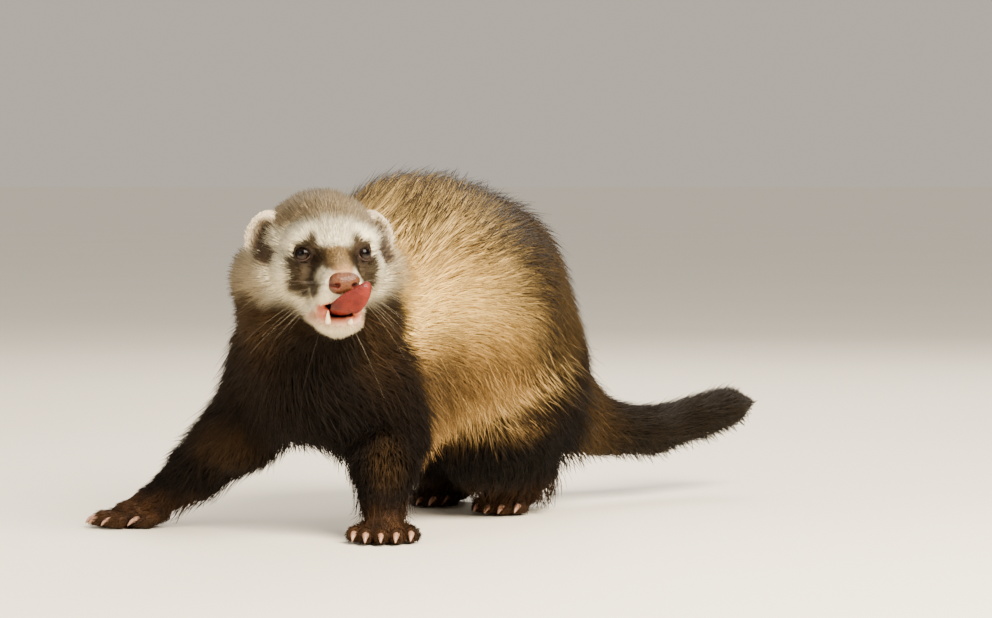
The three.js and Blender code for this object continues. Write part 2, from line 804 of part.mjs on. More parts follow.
for (const [name, side] of Object.entries(SIDES)) {
  const at = mirrored(side, EYE_AT);
  const look = new THREE.Vector3(...mirrored(side, EYE_LOOK)).normalize().toArray();
  const globe = (radius) => inHead(ball(at, [radius, radius, radius], look));
  join("head", globe(LID_RADIUS));
  hollow("head", inHead(ball(add(at, look, EYE_OPENING[2]), EYE_OPENING, look)));
  hollow("head", globe(EYE_RADIUS + GAP));
  nodes.set("eye_" + name, globe(EYE_RADIUS));
}

const earShape = carve(1.2, egg([0, 0, -1], [10.4, 12, 4.6]), egg([0, -2, 3], [7.6, 9.4, 5.2]));
const EAR_GRID = [ruler([-13, 13, 2.5]), ruler([-14, 14, 2.5]), ruler([-7, 6, 2.2])];

for (const [name, side] of Object.entries(SIDES)) {
  const facing = new THREE.Vector3(...mirrored(side, EAR_FACING)).normalize();
  const across = new THREE.Vector3(...mirrored(side, EAR_UP)).cross(facing).normalize();
  const own = new THREE.Matrix4().makeBasis(across, facing.clone().cross(across), facing);
  const frame = headFrame.clone().multiply(own.setPosition(...mirrored(side, EAR_AT)));
  const ear = netOf(inFrame(frame, earShape), frame, EAR_GRID);
  nodes.set("ear_" + name, largest(ear.subtract(swollenHead)));
}

const nostrils = blend(
  0.5,
  Object.values(SIDES).flatMap((side) => [
    egg(mirrored(side, [3, -49.2, -8.6]), [1.5, 2.4, 1.3]),
    taper(mirrored(side, [3.4, -49, -9.2]), mirrored(side, [6, -46.8, -9.4]), 1, 0.6),
  ]),
);
const noseShape = carve(0.6, egg(NOSE_AT, [5.9, 4.7, 4.2]), nostrils);
const NOSE_GRID = [ruler([-8, 8, 1.3]), ruler([-52, -38, 1.3]), ruler([-14.5, -2.5, 1.3])];
const nose = netOf(inFrame(headFrame, noseShape), headFrame, NOSE_GRID);
nodes.set("nose", largest(nose.subtract(swollenFace)));

// The tongue's run, from its root to its tip, and how far its width leans from level
const TONGUE = [
  { at: [0, -22, -20.4], wide: 3.2, thick: 1.25, lean: 0 },
  { at: [0, -30, -20.4], wide: 4.2, thick: 1.25, lean: 0 },
  { at: [-0.4, -38, -19.4], wide: 4.7, thick: 1.25, lean: 6 },
  { at: [0, -45, -18], wide: 4.9, thick: 1.25, lean: 18 },
  { at: [2.6, -49.4, -15.6], wide: 4.8, thick: 1.25, lean: 34 },
  { at: [5.6, -51.2, -12.5], wide: 4, thick: 1.25, lean: 42 },
  { at: [7.8, -51.4, -9.5], wide: 2.9, thick: 1.2, lean: 45 },
  { at: [9, -50.8, -7.6], wide: 1.3, thick: 0.7, lean: 46 },
].map(({ lean, ...ring }) => ({ ...ring, across: [Math.cos(radians(lean)), 0, -Math.sin(radians(lean))] }));
const tongue = (growth) => inHead(sweep(TONGUE, 10, growth));

nodes.set("tongue", tongue(0));
for (const name of ["lower_jaw", "muzzle", "head"]) hollow(name, tongue(GAP));

for (const side of Object.values(SIDES)) {
  const canine = [
    ring(mirrored(side, [5.4, -38, -25]), 1.35, [1, 0, 0]),
    ring(mirrored(side, [5.6, -38.8, -21]), 1.15, [1, 0, 0]),
    ring(mirrored(side, [5.9, -39.4, -17.6]), 0.4, [1, 0, 0]),
  ];
  join("lower_jaw", inHead(sweep(canine, 6)));
}

// Colours of the coat and of the bare parts

const BLACK_BROWN = 0x2a1a0c;
const CREAM = 0xd9c193;
const COLOURS = {
  head: 0xcbb894,
  muzzle: 0xe6d6bd,
  lower_jaw: 0xe8d4bc,
  neck: 0x4a3519,
  chest: 0x1f1408,
  trunk: CREAM,
  rump: 0xa88a58,
  tail_base: 0x57401f,
  tail_tip: 0x2b2410,
  nose: 0xa76d48,
  tongue: 0xa85137,
  eye: 0x120c08,
  ear: 0xc4b79a,
};
const colourOf = (name) => COLOURS[name] ?? COLOURS[name.split("_")[0]] ?? BLACK_BROWN;

// The model: the middle of its footprint comes to the origin, on the floor

const group = new THREE.Group();
group.name = "ferret";
for (const [name, solid] of nodes) {
  const { points, faces } = cleanMesh(solid);
  const bare = new THREE.BufferGeometry();
  bare.setAttribute("position", new THREE.Float32BufferAttribute(points.flat(), 3));
  const geometry = bare.setIndex(faces.flat()).toNonIndexed();
  const material = new THREE.MeshStandardMaterial({ name, color: colourOf(name), roughness: 0.8 });
  const mesh = new THREE.Mesh(geometry, material);
  mesh.name = name;
  group.add(mesh);
}
const middle = new THREE.Box3().setFromObject(group).getCenter(new THREE.Vector3());
for (const mesh of group.children) mesh.geometry.translate(-middle.x, -middle.y, 0);

export default group;
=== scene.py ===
# %% [markdown]
# # A sable ferret, furred
#
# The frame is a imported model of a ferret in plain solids. This script dresses it: one skin over the whole
# body, a coat of solid tufts that follow its lie, and the eyes, lids, nose, mouth, claws and whiskers.

# %% The frame
import math

import bpy
import numpy as np
from mathutils import Matrix, Vector

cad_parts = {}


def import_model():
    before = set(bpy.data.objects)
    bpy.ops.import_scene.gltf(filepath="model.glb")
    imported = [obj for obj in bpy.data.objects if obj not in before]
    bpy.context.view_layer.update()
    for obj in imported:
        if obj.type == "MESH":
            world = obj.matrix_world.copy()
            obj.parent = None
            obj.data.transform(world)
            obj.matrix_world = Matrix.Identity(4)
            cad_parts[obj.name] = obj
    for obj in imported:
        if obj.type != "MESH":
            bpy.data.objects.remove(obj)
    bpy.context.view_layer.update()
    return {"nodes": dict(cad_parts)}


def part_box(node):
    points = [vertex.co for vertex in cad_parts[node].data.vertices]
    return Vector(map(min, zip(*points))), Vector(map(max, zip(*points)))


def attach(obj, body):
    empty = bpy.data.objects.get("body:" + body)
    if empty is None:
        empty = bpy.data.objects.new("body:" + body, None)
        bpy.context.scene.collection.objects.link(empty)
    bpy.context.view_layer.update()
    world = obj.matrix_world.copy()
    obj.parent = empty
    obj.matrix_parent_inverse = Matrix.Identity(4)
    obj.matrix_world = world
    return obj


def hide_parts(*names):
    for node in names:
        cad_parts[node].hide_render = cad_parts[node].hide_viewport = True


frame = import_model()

print("nodes in the frame:", len(frame["nodes"]))

# %% [markdown]
# ## Sizes
#
# The animal is described in its own stance frame, in millimetres, with the floor at z = 0. The stations
# repeat those of the solids, so that skin and coat lie where the solids do. The left side is towards +X.

# %% Stations of the body
MM = 0.001
SIDES = {"right": -1, "left": 1}

SPINE = [
    ((26, 157, 48), 21),
    ((1, 138, 76), 37.5),
    ((-14, 110, 100), 43.5),
    ((-36, 88, 109), 42.5),
    ((-54, 68, 99), 36.5),
    ((-67, 47, 84), 37),
    ((-76, 31, 74), 32),
]
BELLY = [((-24, 96, 74), 36), ((-58, 58, 68), 31)]
NECK = [((-76, 35, 84), 34), ((-75, 22, 103), 32)]
TAIL = [
    ((26, 157, 48), 20),
    ((50, 177, 36), 13.5),
    ((75, 196, 32.5), 12),
    ((99, 216, 38), 10.5),
    ((115, 230, 41.5), 8),
    ((126, 240, 43), 2.5),
]
LEGS = {
    "fore_right": [((-94, 46, 70), 23), ((-113, 54, 44), 16),
                   ((-132, 63, 25), 10.8), ((-150, 70, 12), 8)],
    "fore_left": [((-53, 40, 70), 24), ((-47, 42, 46), 17.5),
                  ((-48, 26, 31), 12.5), ((-48, 15, 17), 10)],
    "hind_right": [((-14, 150, 62), 26), ((-35, 131, 36), 20.5),
                   ((-21, 164, 22), 14), ((-19, 172, 12), 9.5)],
    "hind_left": [((14, 127, 62), 26), ((-2, 106, 35), 22),
                  ((13, 138, 22), 15.5), ((11, 142, 12), 9.5)],
}
PAWS = {
    "forepaw_right": dict(at=(-152, 71), heading=198, side=-1, sole=(2, 12),
                          toes=[(7, -11), (19, -8.5), (23.5, -2.5), (23.5, 4), (17, 10.5)]),
    "forepaw_left": dict(at=(-47.5, 15), heading=269, side=1, sole=(0, 8),
                         toes=[(11, -12), (16.5, -7), (18, -0.5), (16.5, 6), (11, 12)]),
    "hind_foot_right": dict(at=(-19, 174), heading=240, side=-1, sole=(-3, 21),
                            toes=[(22, -9.5), (29, -6.5), (31.5, -1), (30.5, 5), (25, 10)]),
    "hind_foot_left": dict(at=(11.5, 141), heading=245, side=1, sole=(-3, 21),
                           toes=[(23, -10.5), (29, -7), (31.5, -1), (30.5, 5.5), (25, 11)]),
}
TOE_RADIUS = 3.9
CLAW_LENGTH = 6.2
CLAW_RADIUS = 2.0

# %% Stations of the head
# In its own frame: x to the left, -y out of the nose, z to the crown
HEAD_AT = (-73.5, 10, 119)
HEAD_YAW = math.radians(14.5)
HEAD_PITCH = math.radians(-1)
EYE_AT = (12.2, -22.4, 3.6)
EYE_LOOK = (0.53, -0.84, 0.1)
EYE_RADIUS = 3.7
EYE_OPENING = (3.35, 3.3, 5.0)
EAR_AT = (23.6, 2, 10)
EAR_FACING = (0.55, -0.8, 0.12)
EAR_UP = (-0.22, 0.1, 0.97)
NOSE_AT = (0, -45.2, -8.4)
MOUTH_AT = (0, -35, -19.2)
MOUTH_RADII = (8.2, 15.5, 3.3)

# %% [markdown]
# ## Fields
#
# A field takes points as rows of an array and gives each one's distance to a surface, negative inside.
# Rounded cones and eggs melt into one another through a smooth minimum.

# %% Shapes as fields
def unit(way):
    way = np.asarray(way, float)
    return way / np.linalg.norm(way, axis=-1, keepdims=True)


def norm(rows):
    return np.linalg.norm(rows, axis=1)


def taper(a, b, radius_a, radius_b):
    a = np.array(a, float)
    along = np.array(b, float) - a

    def field(p):
        t = np.clip((p - a) @ along / (along @ along), 0, 1)
        return norm(p - a - t[:, None] * along) - (radius_a + (radius_b - radius_a) * t)

    return field


def egg(centre, radii):
    centre = np.array(centre, float)
    radii = np.array(radii, float)

    def field(p):
        scaled = (p - centre) / radii
        size = norm(scaled)
        steepness = np.maximum(norm(scaled / radii), 1e-6)
        return size * (size - 1) / steepness

    return field


def smooth_min(a, b, width):
    h = np.maximum(width - np.abs(a - b), 0) / width
    return np.minimum(a, b) - h * h * width / 4


def blend(width, fields):
    def field(p):
        value = fields[0](p)
        for other in fields[1:]:
            value = smooth_min(value, other(p), width)
        return value

    return field


def carve(width, solid, hollow):
    return lambda p: -smooth_min(-solid(p), hollow(p), width)


def chain(stations):
    return [taper(a, b, ra, rb) for (a, ra), (b, rb) in zip(stations, stations[1:])]


def ramp(value, start, end):
    """Climbs smoothly from 0 at start to 1 at end."""
    t = np.clip((value - start) / (end - start), 0, 1)
    return t * t * (3 - 2 * t)


def fall(value, start, end):
    """Falls smoothly from 1 at start to 0 at end."""
    return 1 - ramp(value, start, end)


def between(ends, share):
    """The value a share of the way from the first end to the second."""
    return ends[0] + (ends[1] - ends[0]) * share


def mirrored(side, point):
    return (point[0] * side, point[1], point[2])


# %% [markdown]
# ## Frames of the head, ears, eyes and paws
#
# Each is a turn and a place. `local` takes points of the stance into a frame and `stance` brings them back.

# %% Frames
class Place:
    def __init__(self, axes, at):
        """axes has the frame's x, y and z as its columns."""
        self.axes = np.array(axes, float)
        self.at = np.array(at, float)

    def local(self, p):
        return (p - self.at) @ self.axes

    def stance(self, p):
        return np.asarray(p, float) @ self.axes.T + self.at

    def field(self, own):
        return lambda p: own(self.local(p))


def turned(at, yaw, pitch=0.0):
    return Place(Matrix.Rotation(yaw, 3, "Z") @ Matrix.Rotation(pitch, 3, "X"), at)


def head_place(side, at, facing, up):
    """A place on one side of the head, its own z facing out and its own y as near to up as it can be."""
    facing = unit(mirrored(side, facing))
    across = unit(np.cross(mirrored(side, up), facing))
    axes = np.stack([across, np.cross(facing, across), facing], axis=1)
    return Place(HEAD.axes @ axes, HEAD.stance(mirrored(side, at)))


HEAD = turned(HEAD_AT, HEAD_YAW, HEAD_PITCH)
EARS = {name: head_place(side, EAR_AT, EAR_FACING, EAR_UP) for name, side in SIDES.items()}
EYES = {name: head_place(side, EYE_AT, EYE_LOOK, (0, 0, 1)) for name, side in SIDES.items()}
SOLES = {name: turned((*paw["at"], 0), math.radians(paw["heading"])) for name, paw in PAWS.items()}

# The stance's place in the frame, from the middle of one eye
eye_low, eye_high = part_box("eye_right")
eye_middle = (np.array(eye_low) + np.array(eye_high)) / 2 / MM
SHIFT = eye_middle - EYES["right"].at
print("the stance is moved by", SHIFT.round(2), "mm")


def world(p):
    """Points of the stance, in metres in the frame."""
    return (np.asarray(p, float) + SHIFT) * MM


# %% [markdown]
# ## The whole animal as one field
#
# `outline` is the outside of the coat. `rise` is how far the long coat climbs from the skin to it.

# %% Head, body and paws
def egg_pair(centre, radii):
    """The same egg on both sides of the head."""
    return [egg(mirrored(side, centre), radii) for side in SIDES.values()]


def taper_pair(a, b, radius_a, radius_b):
    """The same rounded cone on both sides of the head."""
    return [taper(mirrored(side, a), mirrored(side, b), radius_a, radius_b) for side in SIDES.values()]


skull = blend(6, [
    egg((0, 4, 5.5), (23.2, 27, 23.3)),
    egg((0, -13, 6), (16.5, 16, 12)),
    taper((0, -16, -6), (0, -37, -9.5), 13.5, 8.6),
    taper((0, -18, 5), (0, -40, -4.5), 8.5, 5.2),
    egg((0, -5, -15), (15, 20, 11)),
    *egg_pair((17, 6, -7), (17, 20, 16)),
    *egg_pair((14, -15, -4), (8, 9, 8)),
    *egg_pair((5.4, -36.5, -12.4), (6.6, 7.6, 5.2)),
    *egg_pair((11, -19.5, 9), (6, 6.5, 4.5)),
])
jaw = blend(4, [
    taper((0, -8, -18), (0, -31, -24.4), 12, 5.4),
    egg((0, -33.5, -25.2), (8.4, 7.6, 4.9)),
    *taper_pair((8.6, -24, -21), (7.4, -34, -23.6), 4.2, 2.4),
])
mouth = egg(MOUTH_AT, MOUTH_RADII)
head_field = carve(1.5, blend(4, [skull, jaw]), mouth)
head = HEAD.field(head_field)


def paw_field(name):
    paw = PAWS[name]
    heel, ball = paw["sole"]
    toes = []
    for forward, outward in paw["toes"]:
        y = outward * paw["side"]
        knuckle = (forward - 1, y, 3.7)
        toes.append(taper((forward - 9, y * 0.75, 5.4), knuckle, TOE_RADIUS * 0.85, TOE_RADIUS))
        toes.append(taper(knuckle, (forward + 2, y, 3.1), TOE_RADIUS, TOE_RADIUS * 0.75))
    pads = [
        taper((heel, 0, 9), (ball, 0, 5.4), 7.6, 6.4),
        taper((ball, -4, 4.6), (ball, 4, 4.6), 5.8, 5.8),
    ]
    return SOLES[name].field(blend(1.2, [blend(3, pads), *toes]))


paws = blend(5, [paw_field(name) for name in PAWS])
body = blend(14, chain(SPINE) + chain(NECK) + chain(BELLY))
for limb in [*(blend(5, chain(stations)) for stations in LEGS.values()), blend(4, chain(TAIL))]:
    body = blend(12, [body, limb])
outline = blend(5, [body, head, paws])
print("limbs:", ", ".join(LEGS), "and a tail")

# %% The coat's depth
COAT_RISE = 4.2
TAIL_RISE = 3.0
TAILWARDS = np.array([0.76, 0.64, 0.0])
FUR_DEPTH = 0.8


def rise(p):
    tailwards = p @ TAILWARDS
    on_trunk = ramp(p[:, 2], 34, 60) * ramp(head(p), 3, 18)
    on_tail = ramp(tailwards, 100, 125)
    return COAT_RISE * on_trunk * (1 - on_tail) + TAIL_RISE * on_tail * fall(tailwards, 212, 236)


def lips(p):
    """1 on the bare rim of the mouth and inside it, and 0 where the face is furred."""
    return fall(mouth(HEAD.local(p)), 0.6, 2.6)


def depth(p):
    return rise(p) + FUR_DEPTH * (1 - lips(p))


# %% The skin's field, with the lids' swelling and openings
LID_RADIUS = 4.4
LID_CLEARANCE = 0.05
gums = HEAD.field(blend(1, taper_pair((7.6, -33, -19.2), (6.4, -38.6, -20.2), 2.5, 1.8)))


def skin(p):
    value = smooth_min(outline(p) + depth(p), gums(p), 1)
    for place in EYES.values():
        near = place.local(p)
        globe = norm(near)
        value = smooth_min(value, globe - LID_RADIUS, 1.5)
        opening = egg((0, 0, EYE_OPENING[2]), EYE_OPENING)(near)
        value = -smooth_min(-value, opening, 0.6)
        value = np.maximum(value, EYE_RADIUS + LID_CLEARANCE - globe)
    return np.maximum(value, -p[:, 2])


# %% [markdown]
# ## Meshing a field
#
# Surface nets: a vertex in each cell of a grid that the surface crosses, and a square across each edge of
# the grid that it crosses. Blocks of cells that lie far from the surface are skipped.

# %% Grids, and moving points on to a surface
def ruler(*stretches):
    marks = [stretches[0][0]]
    for start, end, step in stretches:
        marks.extend(np.linspace(start, end, round((end - start) / step) + 1)[1:])
    return np.array(marks)


def slope(field, p, probe=0.2):
    value = field(p)
    ways = [field(p + probe * axis) - value for axis in np.eye(3)]
    return value, np.stack(ways, axis=1) / probe


def settle(field, p, limit, passes=2):
    """Moves points to the field's zero, by no more than the limit at each pass."""
    for _ in range(passes):
        value, way = slope(field, p)
        step = -value / np.maximum((way * way).sum(axis=1), 1e-6)
        p = p + way * np.clip(step, -limit, limit)[:, None]
    return p


def way_out(field, p):
    """The ways straight out of a field's surface."""
    return unit(slope(field, p)[1])


# %% Surface nets
def sampled(field, marks, block=5):
    """The field at every mark of a grid, worked out in full only in blocks that the surface may cross."""
    blocks = [np.arange(len(axis)) // block for axis in marks]
    runs = [[axis[of == b] for b in range(of[-1] + 1)] for axis, of in zip(marks, blocks)]
    middles = [[run.mean() for run in axis] for axis in runs]
    widths = [[np.ptp(run) + 1e-6 for run in axis] for axis in runs]
    centres = np.stack(np.meshgrid(*middles, indexing="ij"), axis=-1)
    reach = sum(w**2 for w in np.meshgrid(*widths, indexing="ij")) ** 0.5
    value = field(centres.reshape(-1, 3)).reshape(reach.shape)
    near = (np.abs(value) < reach)[np.ix_(*blocks)]
    values = value[np.ix_(*blocks)]
    spots = np.nonzero(near)
    values[spots] = field(np.stack([axis[n] for axis, n in zip(marks, spots)], axis=1))
    for axis in range(3):
        edge = [slice(None)] * 3
        edge[axis] = [0, -1]
        values[tuple(edge)] = np.maximum(values[tuple(edge)], 0.5)
    return values


def net_points(own, marks, values):
    """A point in each cell that the surface crosses, and each cell's number, or -1 where it has none."""
    corners = [(a, b, c) for c in (0, 1) for b in (0, 1) for a in (0, 1)]
    cells = tuple(n - 1 for n in values.shape)
    window = [tuple(slice(o, o + n) for o, n in zip(corner, cells)) for corner in corners]
    count = sum((values[w] <= 0).astype(np.int8) for w in window)
    i, j, k = np.nonzero((count > 0) & (count < 8))
    at = [np.stack([marks[0][i + a], marks[1][j + b], marks[2][k + c]], axis=1) for a, b, c in corners]
    value = [values[i + a, j + b, k + c] for a, b, c in corners]
    total = np.zeros((len(i), 3))
    hits = np.zeros(len(i))
    for first in range(8):
        for axis in range(3):
            if first >> axis & 1:
                continue
            last = first | 1 << axis
            crossed = (value[first] <= 0) != (value[last] <= 0)
            gap = np.where(crossed, value[first] - value[last], 1)
            hit = at[first] + (at[last] - at[first]) * (value[first] / gap)[:, None]
            total += np.where(crossed[:, None], hit, 0)
            hits += crossed
    limit = 0.4 * (at[7] - at[0]).min(axis=1)
    index = np.full(cells, -1)
    index[i, j, k] = np.arange(len(i))
    return settle(own, total / hits[:, None], limit), index


def net_squares(inside, index):
    """A square across each edge of the grid that the surface crosses, facing out."""
    squares = []
    for axis in range(3):
        ahead = [slice(None)] * 3
        ahead[axis] = slice(1, None)
        here = [slice(None)] * 3
        here[axis] = slice(0, -1)
        spots = np.argwhere(inside[tuple(here)] != inside[tuple(ahead)])
        u, w = np.eye(3, dtype=int)[[(axis + 1) % 3, (axis + 2) % 3]]
        square = np.stack([index[tuple((spots - back).T)] for back in (0, u, u + w, w)], axis=1)
        outwards = inside[tuple(spots.T)]
        squares.append(np.where(outwards[:, None], square, square[:, ::-1]))
    return np.concatenate(squares)


def net_of(field, marks, place=None):
    """A field's closed mesh as points and squares, on a grid in the stance or in a place's own frame."""
    own = field if place is None else lambda p: field(place.stance(p))
    values = sampled(own, marks)
    points, index = net_points(own, marks, values)
    return points if place is None else place.stance(points), net_squares(values <= 0, index)


# %% [markdown]
# ## The camera
#
# It looks from where the photograph was taken: through a long lens from 1.3 m, a little above the back.

# %% Camera
IMAGE = (992, 618)
FOCAL_PIXELS = 3095
CAMERA_AT = (0, -1300, 154)
CAMERA_DOWN = math.radians(2.4)
SENSOR = 36.0

camera_data = bpy.data.cameras.new("camera")
camera_data.sensor_width = SENSOR
camera_data.lens = SENSOR * FOCAL_PIXELS / IMAGE[0]
camera_data.clip_end = 100
camera = bpy.data.objects.new("camera", camera_data)
camera.location = world(CAMERA_AT)
camera.rotation_euler = (math.pi / 2 - CAMERA_DOWN, 0, 0)
bpy.context.scene.collection.objects.link(camera)
bpy.context.scene.camera = camera
print("lens:", round(camera_data.lens, 1), "mm")

# %% [markdown]
# ## Node wiring
#
# Shader maths is written as sums: a `Wire` holds one output of a node tree, and its operators add nodes.

# %% Wires
class Wire:
    def __init__(self, tree, output):
        self.tree = tree
        self.output = output

    def node(self, kind, inputs=(), output=0, **settings):
        """Any node of the tree, with inputs by name or number and settings as its own properties."""
        made = self.tree.nodes.new(kind)
        for name, value in settings.items():
            setattr(made, name, value)
        for key, value in dict(inputs).items():
            plug(self.tree, value, made.inputs[key])
        return Wire(self.tree, made.outputs[output])

    def maths(self, operation, *values):
        return self.node("ShaderNodeMath", enumerate(values), operation=operation)

    def __add__(self, other):
        return self.maths("ADD", self, other)

    def __sub__(self, other):
        return self.maths("SUBTRACT", self, other)

    def __rsub__(self, other):
        return self.maths("SUBTRACT", other, self)

    def __mul__(self, other):
        return self.maths("MULTIPLY", self, other)

    def __pow__(self, power):
        return self.maths("POWER", self, power)

    __radd__ = __add__
    __rmul__ = __mul__

    def ramp(self, start, end):
        """Climbs smoothly from 0 to 1 as the wire's number goes from start to end."""
        inputs = {"Value": self, "From Min": start, "From Max": end}
        return self.node("ShaderNodeMapRange", inputs, interpolation_type="SMOOTHSTEP")

    def mix(self, first, second):
        """The first colour with this wire's share of the second over it."""
        inputs = {"Factor": self, 6: first, 7: second}
        return self.node("ShaderNodeMix", inputs, output=2, data_type="RGBA")

    def scaled(self, factor):
        """This colour times a number."""
        return self.node("ShaderNodeVectorMath", {0: self, "Scale": factor}, operation="SCALE")


def plug(tree, value, socket):
    if isinstance(value, Wire):
        tree.links.new(value.output, socket)
    else:
        socket.default_value = value


# %% Colours and textures as nodes
def marking(wire):
    """The colour that a mesh keeps at its points."""
    return wire.node("ShaderNodeAttribute", attribute_name="Coat")


def stored(wire, name):
    """A number that a mesh keeps at its points."""
    return wire.node("ShaderNodeAttribute", attribute_name=name, output=2)


def noise(wire, scale, detail=2.0):
    """Clouds between 0 and 1, scale being how many fit in a metre."""
    here = wire.node("ShaderNodeTexCoord", output=3)
    return wire.node("ShaderNodeTexNoise", {"Vector": here, "Scale": scale, "Detail": detail})


def pebbles(wire, scale):
    """The distance from the middle of a pebble, scale being how many fit in a metre."""
    here = wire.node("ShaderNodeTexCoord", output=3)
    return wire.node("ShaderNodeTexVoronoi", {"Vector": here, "Scale": scale})


def bump(height, **inputs):
    return height.node("ShaderNodeBump", {"Height": height, **inputs})


def linear(hex_colour):
    """An sRGB colour such as 0xd9c193 as Blender's linear numbers."""
    channels = [(hex_colour >> shift & 255) / 255 for shift in (16, 8, 0)]
    return (*(c / 12.92 if c < 0.04045 else ((c + 0.055) / 1.055) ** 2.4 for c in channels), 1.0)


def material(name, paint, **constants):
    """A Principled material: paint(wire) gives its varying inputs, and constants go on its sockets."""
    made = bpy.data.materials.new(name)
    made.use_nodes = True
    tree = made.node_tree
    shader = tree.nodes["Principled BSDF"]
    for socket, value in constants.items():
        shader.inputs[socket.replace("_", " ")].default_value = value
    for socket, value in paint(Wire(tree, None)).items():
        plug(tree, value, shader.inputs[socket])
    print("material:", name)
    return made


# %% [markdown]
# ## Markings
#
# Skin and coat take their colours from the same functions of a point of the stance: cream trunk,
# black-brown forequarters, legs and tail, a white face with a brown mask and a grey-brown crown.

# %% Colours
CREAM = linear(0xe5b867)
# A paler cream for the pool of light painted on the flank behind the shoulder.
PAINTED_FLANK_LIGHT = linear(0xfcd37c)
AMBER = linear(0x866338)
THIGH_CREAM = linear(0xdcb26c)
ELBOW_BROWN = linear(0x2e1b09)
# The ochre of grizzled fur, and of sheen painted on the dark neck and forelegs.
OCHRE = linear(0x5e4323)
SADDLE = linear(0xb99a60)
RUMP = linear(0x3f2d12)
BLACK = linear(0x0b0603)
CHEST_BROWN = linear(0x1a0f05)
NECK_BROWN = linear(0x2c1e0c)
TAIL_BROWN = linear(0x1e160b)
TAIL_BASE = linear(0x4a3516)
WHITE = linear(0xfff0ca)
CHEEK = linear(0x917953)
CROWN = linear(0xa48d69)
MASK = linear(0x31220f)
EYE_RING = linear(0x1c1108)
BRIDGE = linear(0x8a6e47)
PAW_BROWN = linear(0x4a2f17)
LIP_PINK = linear(0xb5654a)
NOSE_FUR = linear(0xb08058)
MOUTH_RED = linear(0x8c2c1e)
EAR_RIM = linear(0xeed9b6)
# Painted shade for the hollow of each ear and for its mouth on the head.
EAR_HOLLOW_SHADE = linear(0x3a2311)


def layered(base, *layers):
    """A colour, or each row's own, under layers of (colour, share), each over those before it."""
    rows = np.atleast_2d(base)[:, :3]
    for colour, share in layers:
        rows = rows + (np.atleast_2d(colour)[:, :3] - rows) * share[:, None]
    return rows


def blob(p, centre, radii, soft=0.35):
    """1 inside an egg, falling to 0 over a soft rim."""
    size = norm((p - np.array(centre, float)) / np.array(radii, float))
    return fall(size, 1 - soft, 1 + soft)


def wander(p, size, seed):
    """A slow, smooth wandering between -1 and 1."""
    x, y, z = (p / size).T
    return (np.sin(x + 1.7 * seed + np.sin(y * 1.3))
            * np.cos(y + 4.1 * seed + np.sin(z * 1.1))
            * np.sin(z + 2.9 * seed + np.sin(x * 0.9) + 0.8))


# %% The body's colours
FOREWARDS = unit((0.406, 0.914, 0))
BACKWARDS = unit((0.75, 0.55, 0))


def fore_share(p, ragged):
    """1 on the dark neck, chest and forelegs, which end behind the shoulder, higher up nearer the head."""
    end = -3 + 0.45 * np.clip(103 - p[:, 2], -40, 53) + 0.6 * np.maximum(-62 - p[:, 0], 0)
    return fall(p @ FOREWARDS - end + ragged * 1.5, -5, 7)


def hind_share(p, ragged):
    """1 on the dark hind legs and the underside of the thigh, which climbs towards the tail."""
    x, y, z = p.T
    line = 40 + 0.75 * np.maximum(x - 14, 0) + 0.4 * np.maximum(y - 115, 0)
    return ramp(y, 70, 82) * fall(z - line + ragged, -8, 15)


def lit_patch_share(p):
    """1 on a pool of light painted high on the flank behind the shoulder, the palest part of the coat."""
    return blob(p * (1, 0, 1), (-20, 0, 98), (26, 1, 14), 0.5)


thigh_arc = blend(3, chain([
    ((-22, 0, 38), 5), ((-7, 0, 46), 7), ((6, 0, 51), 8),
    ((22, 0, 56), 8), ((31, 0, 63), 7), ((35, 0, 70), 4),
]))
# Ochre patches on the neck and the forelegs: partly the coat's own grizzled amber, partly painted sheen
# where light catches the dark fur.
OCHRE_AND_SHEEN_PATCHES = [
    ((-105, 0, 90), (12, 50, 17)), ((-47, 5, 80), (9, 30, 15)),
    ((-116, 38, 38), (15, 24, 9)), ((-46, 12, 33), (7, 18, 11)),
]


def body_colour(p):
    y, z = p[:, 1], p[:, 2]
    ragged = wander(p, 7, 1) * 3
    from_side = p * (1, 0, 1)
    back = p @ BACKWARDS + ragged - 34 * fall(z, 55, 105)
    tailwards = p @ TAILWARDS
    arc = fall(thigh_arc(from_side) + ragged * 0.6, -4, 4)
    fore = fore_share(p, ragged)
    grizzle_and_sheen = 0.36 * (0.65 + 0.35 * wander(p, 2.5, 2))
    return layered(
        CREAM,
        # Painted light: a pool of paler cream high on the flank behind the shoulder.
        (PAINTED_FLANK_LIGHT, 0.8 * lit_patch_share(p)),
        (AMBER, 0.8 * fall(z + ragged, 66, 92)),
        (ELBOW_BROWN, 0.6 * blob(from_side, (-26, 0, 60), (17, 1, 12), 0.7)),
        (THIGH_CREAM, 0.85 * arc * ramp(y, 45, 70)),
        (SADDLE, 0.8 * ramp(z + ragged, 104, 142)),
        (SADDLE, 0.8 * ramp(back, 32, 56)),
        (RUMP, 0.92 * ramp(back, 42, 78)),
        (NECK_BROWN, fore),
        (CHEST_BROWN, fore * fall(z + ragged, 74, 104)),
        (BLACK, 0.75 * fore * fall(z + ragged, 44, 76)),
        (BLACK, 0.7 * fore * blob(p, (-70, 0, 68), (20, 34, 24), 0.5)),
        # Grizzled fur and painted sheen: ochre patches over the dark neck and forelegs.
        *((OCHRE, fore * blob(p, centre, radii, 0.75) * grizzle_and_sheen) for centre, radii in OCHRE_AND_SHEEN_PATCHES),
        (TAIL_BASE, ramp(tailwards, 112, 128)),
        (TAIL_BROWN, ramp(tailwards, 132, 168)),
        (BLACK, hind_share(p, ragged) * fall(tailwards, 112, 140)),
        (PAW_BROWN, fall(z, 8, 20) * (0.55 + 0.4 * wander(p, 3, 5))),
    )


